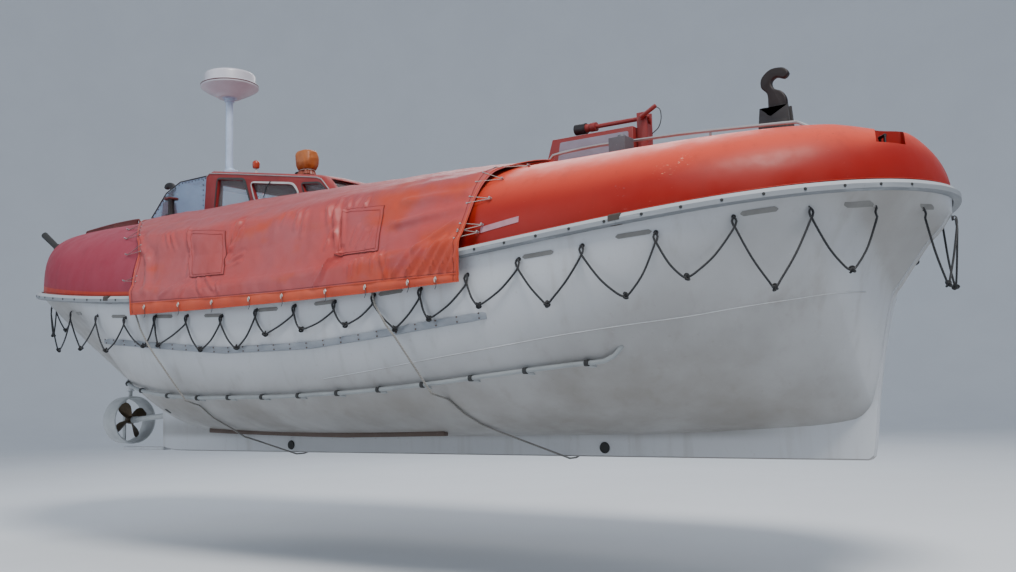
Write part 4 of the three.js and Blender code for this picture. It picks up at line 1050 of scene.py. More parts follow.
def make_keel_lines(sizes):
    for name, (side_x, keel_x, under) in KEEL_LINES.items():
        def half(s):
            rows = [place(x, s * out, h) for x, (out, h) in zip(side_x, LINE_SIDE)]
            rows += [place(x, s * out, bottom_at(x, out) - below) for x, out, below in under]
            return rows + [place(keel_x, s * 0.104, -0.008), place(keel_x, s * 0.06, -0.02)]
        path = half(-1) + half(1)[::-1]
        taut = []
        for a, b in zip(path, path[1:]):
            n = max(int((b - a).length / 0.06), 1)
            taut += [a.lerp(b, k / n) for k in range(n)]
        line = lines(name + "_rope", [taut + [path[-1]]], sizes.keel_rope / 2,
                     "Pale Rope", 8)
        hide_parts(name)


# Hull.
def station_xs(lo, hi, count):
    """Stations that crowd together towards the boat's two ends."""
    a = np.linspace(-math.pi / 2, math.pi / 2, 4 * count)
    xs = END * np.sign(np.sin(a)) * np.abs(np.sin(a)) ** 0.8
    xs = [float(x) for x in xs[::2] if lo + 0.004 < x < hi - 0.004]
    return [lo, *xs, hi]


def make_hull():
    xs = sorted(set(station_xs(-END, END, 90) + [-4.21, -4.205, -4.2, 4.985, 5.03]))
    rings = []
    for x in xs:
        out, up = half_section(x, 30)
        half = [(x, o, h - DRAFT) for o, h in zip(out, up)]
        rings.append(half + [(x, -y, z) for _, y, z in reversed(half)])
    verts, faces = skin(rings)
    hull = paint(outward(new_piece("hull_skin", verts, faces)), "Hull Gelcoat")
    shade(hull, 28)
    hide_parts("hull")
    paths = []
    for _, side in SIDES:
        xs = np.linspace(KNUCKLE[0][0], KNUCKLE[-1][0], 70)
        paths.append([on_hull(x, float(smooth_read(KNUCKLE, x)), 0.001, side) for x in xs])
    lines("hull_knuckle", paths, 0.006, "Hull Gelcoat", 6)
    refined("keel_shoe", "Hull Gelcoat", 0.004)


def on_hull_patch(x, h, slope, length, height, side, off=0.004):
    """Verts and faces of a thin round-ended pad that follows the hull."""
    n, m = 14, 4
    verts, faces = [], []
    normal = hull_normal(x, h, side)
    across = Vector((-normal.y, normal.x, 0)).normalized()
    if across.x < 0:
        across = -across
    for layer in (off, -0.01):
        for i in range(n + 1):
            u = -1 + 2 * i / n
            tall = height / 2
            edge = max(abs(u) * length / 2 - (length / 2 - tall), 0) / tall
            half = tall * math.sqrt(max(1 - min(edge, 1) ** 2 * 0.96, 0))
            xx = x + across.x * u * length / 2
            for j in range(m + 1):
                hh = h + slope * (xx - x) + half * (-1 + 2 * j / m)
                verts.append(on_hull(xx, hh, layer, side))
    step = m + 1
    base = (n + 1) * step
    for i in range(n):
        for j in range(m):
            a = i * step + j
            faces.append((a, a + 1, a + step + 1, a + step))
            faces.append((base + a, base + a + step, base + a + step + 1, base + a + 1))
    rim = ([j for j in range(m + 1)] + [i * step + m for i in range(1, n + 1)]
           + [n * step + j for j in range(m - 1, -1, -1)] + [i * step for i in range(n - 1, 0, -1)])
    for a, b in zip(rim, rim[1:] + rim[:1]):
        faces.append((a, base + a, base + b, b))
    return verts, faces


def joined(name, parts, mat):
    """One piece from several sets of verts and faces."""
    verts, faces = [], []
    for v, f in parts:
        start = len(verts)
        verts += list(v)
        faces += [tuple(start + i for i in face) for face in f]
    obj = new_piece(name, verts, faces)
    face_out(obj)
    shade(obj, 40)
    return paint(obj, mat)


def make_hull_fittings(sizes):
    pads = []
    for x, h, slope in PADS:
        for _, side in SIDES:
            reach = min(sizes.pad_length, 0.16) if x > 5.5 else sizes.pad_length
            pads.append(on_hull_patch(x, h, slope, reach, sizes.pad_height, side))
    joined("hull_pads", pads, "Pad Grey")
    slots = [on_hull_patch(-2.26, 0.523, 0, 0.1, 0.05, side, 0.003) for _, side in SIDES]
    joined("hull_slots", slots, "Black Rubber")
    discs = []
    for x in KEEL_DISCS:
        for _, side in SIDES:
            y = float(smooth_read(KEEL_HALF_WIDTH, x))
            discs.append((place(x, side * (y + 0.003), 0.085), Vector((0, side, 0))))
    fastenings("keel_discs", discs, "Black Rubber", 0.052, 0.012, 0.046, 28)
    for name, side in SIDES:
        refined("strake_" + name, "Strake Grey", 0.004)
        refined("bilge_bar_" + name, "Bar Brown", 0.006)
        spots = []
        for x in np.arange(-2.78, 2.5, sizes.strake_pitch):
            for lift in (0.02, -0.02):
                h = float(np.interp(x, *zip(*STRAKE_LINE))) + lift
                spots.append((on_hull(x, h, 0.0315, side), Vector((0, side, 0))))
        fastenings("strake_bolts_" + name, spots, "Bar Brown", 0.008, 0.005)
        spots = []
        for x in np.arange(-1.9, 1.4, 0.3):
            spots.append((place(x, side * 1.0, bottom_at(x, 1.0) - 0.047), Vector((0, 0, -1))))
        fastenings("bar_bolts_" + name, spots, "Zinc", 0.011, 0.005)
        make_grab_pipe(name, side)


def make_grab_pipe(name, side):
    """A white pipe carried on dark clamps, turned in to the hull at its fore end."""
    def pipe_at(x):
        h = float(np.interp(x, *zip(*PIPE_LINE)))
        return on_hull(x, h, 0.052, side)
    aft, fore = PIPE_ENDS
    end = pipe_at(fore)
    inward = Vector((3.58, side * (side_at(3.59, end.z + DRAFT + 0.11) - 0.01), end.z + 0.11))
    route = [pipe_at(x) for x in np.linspace(aft, fore, 26)]
    route += [Vector((3.53, end.y, end.z + 0.038)), inward]
    pipe = lines("grab_pipe_line_" + name, [smooth_path(route, 0.05)], 0.019,
                 "Pipe White", 16)
    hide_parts("grab_pipe_" + name)
    feet, bands = [], []
    x = fore - FIRST_CLAMP
    while x > aft:
        p = pipe_at(x)
        wall = side * (side_at(x, p.z + DRAFT) - 0.03)
        half = [(0.022, 0.02), (0.022, -0.02), (-0.022, -0.02), (-0.022, 0.02)]
        rings = [[(x + a * k, yy, p.z + b * k) for a, b in half]
                 for yy, k in ((p.y + side * 0.004, 0.9), (p.y - side * 0.014, 1.0),
                               (wall + side * 0.036, 1.15), (wall, 1.8))]
        feet.append(skin(rings))
        bands.append([Vector((x - 0.017, p.y, p.z)), Vector((x + 0.017, p.y, p.z))])
        x -= CLAMP_PITCH
    joined("grab_pipe_feet_" + name, feet, "Pipe White")
    lines("grab_pipe_clamps_" + name, bands, 0.027, "Black Rubber", 16)


# Canopies and roof.
def form_ring(x, out, drop=0.0, steps=44):
    w, base, h, e = cover_form(x, out)
    a = np.linspace(0, math.pi / 2, steps + 1)
    y = w * np.cos(a) ** e
    z = base + h * np.sin(a) ** e
    z[0] -= drop
    y[-1] = 0
    port = [(x, p, q - DRAFT) for p, q in zip(y, z)]
    return [(x, -p, q) for _, p, q in port] + port[-2::-1]


def solid_cut(obj, cutters, operation="DIFFERENCE"):
    for c in cutters:
        m = obj.modifiers.new("cut", "BOOLEAN")
        m.operation, m.solver, m.object = operation, "EXACT", c
    settle(obj)
    for c in cutters:
        bpy.data.objects.remove(c)
    return obj


def form_solid(name, lo, hi, out, drop=0.0):
    return closed_shape(name, [form_ring(x, out, drop) for x in station_xs(lo, hi, 70)])


# The corners of each eye pocket: x, distance out, and the way that each moves as it grows.
POCKET = [(5.25, 0.25, -1, -1), (5.43, 0.86, -1, 1), (5.62, 0.76, 1, 1), (5.47, 0.23, 1, -1)]
POCKET_FLOOR, BEAD_UP = 2.415, 0.052


def pocket_solid(side, grow):
    rings = []
    for z in (POCKET_FLOOR - grow, 2.9):
        corners = [place(x + ax * grow, side * (y + ay * grow), z) for x, y, ax, ay in POCKET]
        ring = []
        for i, c in enumerate(corners):
            a, b = c.lerp(corners[i - 1], 0.16), c.lerp(corners[(i + 1) % 4], 0.16)
            for k in np.linspace(0, 1, 5):
                ring.append(a * (1 - k) ** 2 + c * 2 * k * (1 - k) + b * k * k)
        rings.append(ring)
    return closed_shape("pocket", rings)


def make_canopies():
    tip = 0.998 * HALF_LENGTH
    for name, mat, lo, hi, inner in (
        ("bow_canopy", "Canopy Gelcoat", 2.15, tip, (2.11, tip - 0.06)),
        ("stern_canopy", "Stern Gelcoat", -tip, -2.3, (-tip + 0.06, -2.26)),
    ):
        body = form_solid(name + "_shell", lo, hi, 0.0)
        solid_cut(body, [form_solid("hollow", inner[0], inner[1], -0.014, 0.03)])
        if name == "bow_canopy":
            liners = []
            for _, side in SIDES:
                liner = pocket_solid(side, 0.014)
                solid_cut(liner, [form_solid("whole", lo, hi, -0.001)], "INTERSECT")
                liners.append(liner)
            solid_cut(body, liners, "UNION")
            solid_cut(body, [pocket_solid(side, 0) for _, side in SIDES])
        outward(body)
        shade(body, 30)
        paint(body, mat, "Foot Band" if name == "stern_canopy" else mat)
        for face in body.data.polygons:
            face.material_index = int(face.center.z + DRAFT < hull_top(face.center.x) + 0.075)
        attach(body, "boat")
        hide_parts(name)
    for name, span, s in (("bow", (2.3, tip), 1), ("stern", (-tip, -2.3), -1)):
        starboard, port = [[place(x, side * (form_side(x, hull_top(x) + BEAD_UP, 0) + 0.0005),
                                  hull_top(x) + BEAD_UP) for x in station_xs(*span, 60)]
                           for _, side in SIDES]
        lines(name + "_canopy_foot_bead", [starboard[::s] + port[::-s]], 0.004, "Canopy Gelcoat",
              6)
    strips = []
    for _, side in SIDES:
        rings = []
        for x in np.linspace(2.5, 2.87, 12):
            rise = (x - 2.5) * 0.13
            rings.append([(x, side * form_side(x, h + rise, off), h + rise - DRAFT) for h, off in (
                (1.925, 0.003), (1.975, 0.003), (1.975, -0.01), (1.925, -0.01))])
        strips.append(skin(rings))
    joined("bare_label_strips", strips, "Label Strip")


def make_roof():
    refined("roof_deck", "Canopy Gelcoat", 0.005)
    spots = []
    y = ROOF_HALF - 0.03
    for _, side in SIDES:
        for x in np.arange(-3.6, 2.45, 0.16):
            over = float(np.interp(x, *zip(*ROOF_OVER)))
            spots.append((place(x, side * y, back_at(x, y, over)), Vector((0, side * 0.3, 1))))
    fastenings("roof_screws", spots, "Zinc", 0.009, 0.005)


# Rubbing strake round the edge.
def make_rails(sizes):
    outline = [(out * RAIL_PROUD, up * RAIL_HEIGHT / 2, 0) for out, up in RAIL_SECTION]
    section = bare_mesh("rail_section", outline,
                        [(i, (i + 1) % len(outline)) for i in range(len(outline))])

    def edge(x, side):
        return place(x, side * edge_out(x), sheer(x) - RAIL_HEIGHT / 2)

    def run_of(lo, hi, side, count=100):
        return [edge(x, side) for x in station_xs(lo, hi, count)]
    fore, aft = RAIL_JOINT
    gap = 0.001
    for name, path in (
        ("rail_bow", run_of(fore + gap, END, -1) + run_of(fore + gap, END, 1)[::-1]),
        ("rail_stern", run_of(-END, aft - gap, 1)[::-1] + run_of(-END, aft - gap, -1)),
        ("rail_starboard", run_of(aft + gap, fore - gap, -1, 90)),
        ("rail_port", run_of(aft + gap, fore - gap, 1, 90)[::-1]),
    ):
        rail = grown(path_mesh(name + "_sweep", [path]), "Rail Grey", "Swept Lines",
                     {"Section": section, "Use Section": True}, 25)
        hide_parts(name)
    bpy.data.objects.remove(section)
    spots = []
    for _, side in SIDES:
        xs = np.linspace(-5.66, 5.66, 900)
        run = np.r_[0, np.cumsum([(edge(b, 1) - edge(a, 1)).length for a, b in zip(xs, xs[1:])])]
        for x in np.interp(np.arange(0.1, run[-1], sizes.rail_pitch), run, xs):
            a, b = edge(x - 0.02, side), edge(x + 0.02, side)
            n = Vector((b.y - a.y, a.x - b.x, 0)).normalized() * -side
            p = edge(x, side) + n * (RAIL_PROUD + 0.001)
            spots.append((p + Vector((0, 0, -0.003)), n))
    fastenings("rail_plugs", spots, "Black Rubber", 0.012, 0.004, 0.010)
    joints = []
    for x in RAIL_JOINT:
        for _, side in SIDES:
            n = Vector((0, side, 0))
            joints.append(skin([[
                edge(x + dx, side) + n * out * RAIL_PROUD + Vector((0, 0, up * RAIL_HEIGHT / 2))
                for out, up in STRAP_SECTION] for dx in (-0.045, 0.045)]))
    joined("rail_joint_straps", joints, "Strap Brown")


# Side covers.
# Creases in the cloth: x and metres up the cloth where each starts, the same where it dies
# out, depth and width.
CREASES = [
    # Below the aft sewn square.
    (-1.17, 0.36, -1.57, 0.17, 0.018, 0.055), (-1.11, 0.33, -1.22, 0.16, 0.016, 0.045),
    (-1.04, 0.35, -0.89, 0.16, 0.02, 0.05), (-0.9, 0.35, -0.69, 0.19, 0.02, 0.05),
    (-0.68, 0.27, -0.62, 0.15, 0.014, 0.045),
    # Aft of it, and the loose aft corner.
    (-1.42, 0.92, -1.26, 0.65, 0.024, 0.06), (-1.26, 0.65, -1.22, 0.39, 0.02, 0.055),
    (-1.8, 0.92, -1.7, 0.78, 0.016, 0.05), (-1.72, 0.92, -1.55, 0.72, 0.018, 0.05),
    (-2.35, 0.92, -2.03, 0.67, 0.045, 0.11), (-2.35, 0.92, -2.12, 0.42, 0.035, 0.1),
    (-2.03, 0.67, -1.83, 0.27, 0.04, 0.12),
    # Forward of it, and the drops from the knee amidships.
    (-0.58, 0.94, -0.62, 0.64, 0.034, 0.065), (-0.62, 0.66, -0.67, 0.5, 0.024, 0.055),
    (-0.5, 0.84, -0.6, 0.62, 0.022, 0.05), (-0.42, 0.57, -0.63, 0.5, 0.014, 0.045),
    (-0.43, 0.49, -0.62, 0.43, 0.014, 0.045), (0.1, 0.95, 0.08, 0.81, 0.02, 0.06),
    (0.26, 0.93, 0.27, 0.77, 0.018, 0.07), (0.36, 0.92, 0.38, 0.68, 0.02, 0.07),
    # Round the fore sewn square.
    (0.75, 1.03, 0.75, 0.88, 0.026, 0.07), (0.75, 0.9, 0.82, 0.66, 0.032, 0.085),
    (0.82, 0.68, 0.88, 0.52, 0.026, 0.065), (0.63, 0.95, 0.76, 0.64, 0.024, 0.07),
    (0.76, 0.66, 0.75, 0.5, 0.024, 0.05), (0.86, 0.89, 0.97, 0.52, 0.022, 0.05),
    (0.9, 0.9, 0.88, 1.01, 0.02, 0.045), (0.98, 0.91, 1.01, 1.02, 0.02, 0.045),
    (1.12, 0.88, 1.12, 0.99, 0.02, 0.045), (1.13, 0.68, 1.09, 0.5, 0.018, 0.045),
    (1.24, 0.62, 1.17, 0.46, 0.018, 0.045), (1.34, 0.62, 1.29, 0.44, 0.018, 0.045),
    # The pull out of its lower corner, and the fan below it.
    (0.96, 0.43, 0.72, 0.12, 0.05, 0.06), (0.9, 0.37, 0.79, 0.13, 0.03, 0.045),
    (1.16, 0.3, 1.14, 0.15, 0.018, 0.045), (1.22, 0.33, 1.19, 0.16, 0.018, 0.045),
    (1.29, 0.34, 1.26, 0.18, 0.018, 0.045), (1.42, 0.36, 1.42, 0.2, 0.018, 0.045),
    (1.51, 0.36, 1.58, 0.15, 0.02, 0.045),
    # Up from the hem towards the fore end.
    (1.58, 0.12, 1.62, 0.28, 0.022, 0.045), (1.68, 0.13, 1.83, 0.3, 0.026, 0.05),
    (1.84, 0.13, 2.04, 0.38, 0.03, 0.055), (1.98, 0.13, 2.2, 0.42, 0.028, 0.055),
    (2.1, 0.14, 2.3, 0.42, 0.03, 0.055), (2.2, 0.13, 2.34, 0.33, 0.028, 0.05),
    (2.28, 0.12, 2.38, 0.26, 0.024, 0.045),
    # Long soft folds under and over the knee.
    (1.9, 0.33, 2.32, 0.6, 0.02, 0.07), (1.56, 0.63, 2.3, 0.7, 0.024, 0.1),
    (1.62, 0.85, 2.3, 0.86, 0.02, 0.09), (-1.5, 1.15, -0.2, 1.25, 0.006, 0.16),
    (0.3, 1.3, 1.5, 1.35, 0.006, 0.16), (1.4, 1.15, 2.3, 1.3, 0.01, 0.14),
]
# The crease where the cloth turns over the rail below the roof: x and metres up the cloth.
KNEE_LINE = [(-2.5, 0.955), (-1.4, 0.92), (-0.5, 0.89), (0, 0.91), (0.35, 1.0), (0.8, 1.055),
             (2.1, 1.04), (2.4, 1.16)]
KNEE_LIFT, KNEE_REACH, KNEE_ROUND = 0.05, 0.3, 0.012
HEM_SHARE = 0.063


def cover_profile(x, back):
    """Distances out and heights, hem to ridge, on thirteen points."""
    w, base, h, e = cover_form(x, float(smooth_read(ROOF_OVER, x)) - 0.002 - back)
    hem = 2.022 - back
    s = sheer(x)
    top = math.acos(min(((ROOF_HALF + 0.006) / w) ** (1 / e), 1))
    a = 0.42 + (top - 0.42) * np.arange(9) / 8
    out = np.r_[hem, hem + 0.003, hem - 0.002, hem - 0.07, w * np.cos(a) ** e]
    up = np.r_[np.interp(x, *zip(*HEM_LINE)), np.interp(x, *zip(*SEAM_LINE)), s + 0.025,
               s + 0.15, base + h * np.sin(a) ** e]
    return out, up


class CoverForm:
    """The side covers' form on a grid of x and share: out, up and length from the hem."""

    lo, hi, rows, columns = -3.6, 2.6, 241, 181

    def __init__(self):
        t, us = np.arange(13) / 12, np.linspace(0, 1, self.columns)
        self.grid = np.zeros((self.rows, self.columns, 3))
        for i, x in enumerate(np.linspace(self.lo, self.hi, self.rows)):
            out, up = cover_profile(x, 0)
            self.grid[i, :, 0] = [smooth_read(list(zip(t, out)), u) for u in us]
            self.grid[i, :, 1] = [smooth_read(list(zip(t, up)), u) for u in us]
            steps = np.hypot(*np.diff(self.grid[i, :, :2], axis=0).T)
            self.grid[i, 1:, 2] = np.cumsum(steps)

    def at(self, x, u):
        """Distance out, height and length up the cloth."""
        i = (x - self.lo) / (self.hi - self.lo) * (self.rows - 1)
        j = min(max(u, 0), 1) * (self.columns - 1)
        a, b = min(int(i), self.rows - 2), min(int(j), self.columns - 2)
        f, g = i - a, j - b
        q = self.grid
        return ((q[a, b] * (1 - g) + q[a, b + 1] * g) * (1 - f)
                + (q[a + 1, b] * (1 - g) + q[a + 1, b + 1] * g) * f)


@functools.cache
def cover_form_grid():
    return CoverForm()


def cover_ends(u):
    return float(smooth_read(COVER_AFT_EDGE, u)), float(smooth_read(COVER_FORE_EDGE, u))


def segment_share(px, ps, x0, s0, x1, s1):
    """Signed distance from a line on the cloth, and how far along it."""
    dx, ds = x1 - x0, s1 - s0
    long = max(math.hypot(dx, ds), 1e-6)
    t = min(max(((px - x0) * dx + (ps - s0) * ds) / long ** 2, 0), 1)
    away = math.hypot(px - x0 - dx * t, ps - s0 - ds * t)
    return math.copysign(away, (px - x0) * ds - (ps - s0) * dx), t


def cover_fold(x, u, s, seed):
    """How far the cloth stands off its form: a sharp knee, billows, creases and a padded hem."""
    lift = 0.011 * noise.noise(Vector((x * 1.1, s * 1.3, seed * 7.3 + 0.5)))
    lift += 0.007 * noise.noise(Vector((x * 4.2, s * 2.4, seed * 3.1 + 4)))
    lift += 0.004 * noise.noise(Vector((x * 9 + s * 5, s * 6.0, seed + 9)))
    off = math.hypot(s - float(np.interp(x, *zip(*KNEE_LINE))), KNEE_ROUND)
    lift += KNEE_LIFT * max(0, 1 - off / KNEE_REACH)
    px = x + 0.12 * seed
    for x0, s0, x1, s1, depth, width in CREASES:
        if min(x0, x1) - 0.2 < px < max(x0, x1) + 0.2 and min(s0, s1) - 0.2 < s < max(s0, s1) + 0.2:
            d, t = segment_share(px, s, x0, s0, x1, s1)
            d /= width
            if abs(d) < 2:
                ridge = (math.exp(-(d / 0.34) ** 2) - 0.75 * math.exp(-((d - 0.8) / 0.42) ** 2)
                         - 0.35 * math.exp(-((d + 0.8) / 0.42) ** 2))
                lift += depth * ridge * (1 - t * 0.7) * min(1, t * 8 + 0.5)
    if u < HEM_SHARE:
        lift += 0.009 * math.sin(math.pi * u / HEM_SHARE) + 0.0015 * math.sin(x * 34 + 2 * seed)
    elif u < 0.22:
        pull = 0.5 + 0.5 * math.cos(2 * math.pi * (x + 2.08) / 0.53)
        lift += 0.004 - 0.008 * (1 - (u - HEM_SHARE) / (0.22 - HEM_SHARE)) * pull
    slack = -0.016 if -2 < x < 2 and 0.35 < s < 1.2 else -0.006
    return max(lift, slack) * min(1, 9 * (1 - u) + 0.12)


def cover_spot(x, u, side, seed, off=0.0, inside=1.0):
    form = cover_form_grid()
    out, up, s = form.at(x, u)
    above, below = form.at(x, min(u + 0.006, 1)), form.at(x, max(u - 0.006, 0))
    n = Vector((0, above[1] - below[1], below[0] - above[0])).normalized()
    lift = cover_fold(x, u, s, seed) * min(1, 0.35 + inside / 0.14) + off
    return place(x, side * (out + n.y * lift), up + n.z * lift)


def cover_point(u, k, side, seed, off=0.0, ends=None):
    aft, fore = ends or cover_ends(u)
    x = aft + (fore - aft) * k
    return cover_spot(x, u, side, seed, off, min(x - aft, fore - x))


def cover_share_at(x, height):
    """The share up from the hem of a height on the cover at x."""
    _, up = cover_profile(x, 0)
    return float(np.interp(height, up, np.arange(13) / 12))


# Sewn flaps: corners as x and height, from the lower aft one round.
FLAPS = [
    [(-1.17, 1.9), (-0.63, 1.87), (-0.75, 2.3), (-1.4, 2.38)],
    [(0.94, 1.89), (1.45, 1.885), (1.39, 2.29), (0.83, 2.33)],
]
TOGGLES = [-1.79, -1.224, -0.702, -0.152, 0.309, 0.87, 1.36, 1.86, 2.16]


def sheet_faces(rows, columns):
    step = columns + 1
    return [(a, a + 1, a + step + 1, a + step)
            for i in range(rows) for a in range(i * step, i * step + columns)]


def face_side(obj, side):
    """Turn an open sheet's faces towards one side of the boat."""
    if sum(f.normal.y * f.area for f in obj.data.polygons) * side < 0:
        obj.data.flip_normals()


def make_covers(sizes):
    nu, nk = 118, 322
    amidships = cover_form_grid().grid[CoverForm.rows * 3 // 5, :, 2]
    us = np.interp(np.linspace(0, amidships[-1], nu + 1), amidships,
                   np.linspace(0, 1, CoverForm.columns))
    for seed, (name, side) in enumerate(SIDES):
        ks = np.linspace(0, 1, nk + 1)
        verts, uv = [], []
        for u in us:
            ends = cover_ends(u)
            for k in ks:
                p = cover_point(float(u), float(k), side, seed, 0, ends)
                verts.append(p)
                uv.append((p.x, float(cover_form_grid().at(p.x, float(u))[2])))
        faces = sheet_faces(nu, nk)
        cloth = new_piece("side_cover_" + name, verts, faces, uv=uv)
        paint(cloth, "Cover Cloth", "Hem Cloth")
        for i, poly in enumerate(cloth.data.polygons):
            poly.material_index = int(us[i // nk] < HEM_SHARE)
        face_side(cloth, side)
        thicken(cloth, sizes.cloth)
        shade(cloth, 60)
        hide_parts("cover_" + name)
        rims = [[cover_point(u, k, side, seed, off) for k in np.linspace(0.002, 0.998, 180)]
                for u, off in ((0.004, 0.0015), (HEM_SHARE, 0.002), (HEM_SHARE + 0.012, 0.0005))]
        ends = [[cover_point(u, k, side, seed, 0.002) for u in np.linspace(0.01, 0.99, 80)]
                for k in (0.004, 0.996, 0.012, 0.988)]
        beads = lines("cover_seams_" + name, rims[:2] + ends[:2], 0.0045, "Hem Cloth",
                      6)
        thread = lines("cover_stitching_" + name, rims[2:] + ends[2:], 0.0018, "Stitching",
                       5)
        with_it = [beads, thread]
        for i, corners in enumerate(FLAPS):
            with_it += make_flap(f"cover_flap_{name}_{i + 1}", corners, side, seed)
        spots, shafts, tails = [], [], []
        for x in TOGGLES:
            p = cover_spot(x, HEM_SHARE * 0.62, side, seed, 0.006)
            spots.append((p, Vector((0, side, 0))))
            shafts.append([p + Vector((0.004, 0, 0.018)), p + Vector((-0.002, side * 0.012, 0)),
                           p + Vector((-0.003, side * 0.006, -0.026))])
            hung = cover_spot(x, 0.004, side, seed, 0.006)
            tails.append([p + Vector((0, side * 0.004, -0.02)),
                          (p + hung) / 2 + Vector((0.006, side * 0.008, 0)),
                          hung + Vector((0.004, side * 0.004, -0.012)),
                          hung + Vector((-0.012, side * 0.004, -0.045))])
        with_it += [
            fastenings("hem_eyelets_" + name, spots, "Zinc", 0.013, 0.005),
            lines("hem_toggles_" + name, shafts, 0.0065, "White Cord", 8),
            lines("toggle_tails_" + name, [smooth_path(tail, 0.01) for tail in tails], 0.0028,
                  "Grab Rope", 6)]
        make_lacing(name, side, seed)


def make_flap(name, corners, side, seed):
    """A square sewn on a cover, puffed a little, with its seams and a dark line of painted shadow
    along its lower and fore edges.
    """
    n = 34
    verts, uv = [], []

    def at(a, b, off):
        shares = (1 - a) * (1 - b), a * (1 - b), a * b, (1 - a) * b
        x, h = (sum(share * corner[i] for share, corner in zip(shares, corners)) for i in (0, 1))
        return cover_spot(x, cover_share_at(x, h), side, seed, off)
    for j in range(n + 1):
        for i in range(n + 1):
            a, b = i / n, j / n
            puff = 0.008 * math.sin(math.pi * a) * math.sin(math.pi * b)
            verts.append(at(a, b, 0.004 + puff))
            uv.append((a * 0.55, b * 0.5))
    flap = new_piece(name, verts, sheet_faces(n, n), uv=uv)
    face_side(flap, side)
    paint(flap, "Cover Cloth")
    thicken(flap, 0.002)
    shade(flap, 60)

    def seam(inset, off, dark):
        lo, hi = inset, 1 - inset
        s = np.linspace(lo, hi, 34)
        if dark:
            return [at(a, lo, off) for a in s] + [at(hi, b, off) for b in s[1:]]
        return [at(a, hi, off) for a in s[::-1]] + [at(lo, b, off) for b in s[::-1][1:]]
    # Painted shadow: a dark line along the flap's lower and fore edges.
    dark = lines(name + "_edge", [seam(0.0, 0.006, True)], 0.0032, "Stitching", 6)
    rows = [seam(0.0, 0.005, False), seam(0.07, 0.0075, True), seam(0.07, 0.0075, False)]
    faint = lines(name + "_stitches", rows, 0.0018, "Faint Stitching", 5)
    return [flap, dark, faint]


# Lacing Vs at the covers' ends: height at the pin, and how far out from the cloth it is.
LACES_FORE = [(1.93, 0.16), (1.99, 0.2), (2.22, 0.22), (2.42, 0.2), (2.58, 0.22)]
LACES_AFT = [(1.96, 0.3), (2.27, 0.3), (2.5, 0.26), (2.66, 0.2)]


def make_lacing(name, side, seed):
    for end, rows, edge, way, cord_name in (
        ("fore", LACES_FORE, COVER_FORE_EDGE, 1, "White Cord"),
        ("aft", LACES_AFT, COVER_AFT_EDGE, -1, "Red Cord"),
    ):
        paths, pins, eyelets = [], [], []
        for h, reach in rows:
            ends = []
            for dh in (0.045, -0.035):
                u = cover_share_at(float(edge[1][1]), h + dh)
                p = cover_point(u, 0.985 if way > 0 else 0.015, side, seed, 0.004)
                ends.append(p)
                eyelets.append((p, Vector((0, side, 0.3))))
            x = ends[0].x + way * reach
            pin = place(x, side * (form_side(x, h, 0) + 0.012), h)
            pins.append((pin, Vector((0, side, 0.3))))
            for e in ends:
                mid = (e + pin) / 2
                mid.y = side * max(abs(mid.y), form_side(mid.x, mid.z + DRAFT, 0) + 0.008)
                paths.append(smooth_path([e, mid, pin], 0.03))
        lines(f"lacing_{end}_{name}", paths, 0.0038, cord_name, 6)
        fastenings(f"lacing_pins_{end}_{name}", pins, "Zinc", 0.009, 0.03, 0.007)
        fastenings(f"lacing_eyelets_{end}_{name}", eyelets, "Zinc", 0.0075, 0.004)


# Wheelhouse and the gear on it.
def rounded(corners, radius, steps=5):
    """A closed outline with its corners rounded off."""
    out = []
    p = [Vector(c) for c in corners]
    for i, c in enumerate(p):
        a = c + (p[i - 1] - c).normalized() * radius
        b = c + (p[(i + 1) % len(p)] - c).normalized() * radius
        for k in np.linspace(0, 1, steps + 1):
            out.append(a * (1 - k) ** 2 + c * 2 * k * (1 - k) + b * k * k)
    return out


def window_frame(corners, side, width, proud, radius):
    """A flat ring round a window, as verts and faces, standing on the wheelhouse's side."""
    middle = sum((Vector(c) for c in corners), Vector((0, 0))) / len(corners)

    def ring(grow, y):
        pts = []
        for c in corners:
            d = Vector(c) - middle
            pts.append(Vector(c) + Vector((math.copysign(grow, d.x), math.copysign(grow, d.y))))
        return [(p.x, side * y, p.y - DRAFT) for p in rounded(pts, radius + grow)]
    foot, top = HOUSE_HALF - 0.014, HOUSE_HALF + proud
    rings = [ring(grow, y) for grow, y in (
        (width, foot), (width, top - 0.003), (width - 0.004, top), (-0.004, top),
        (-0.012, top - 0.004), (-0.012, foot))]
    return skin(rings + [rings[0]], caps=False)


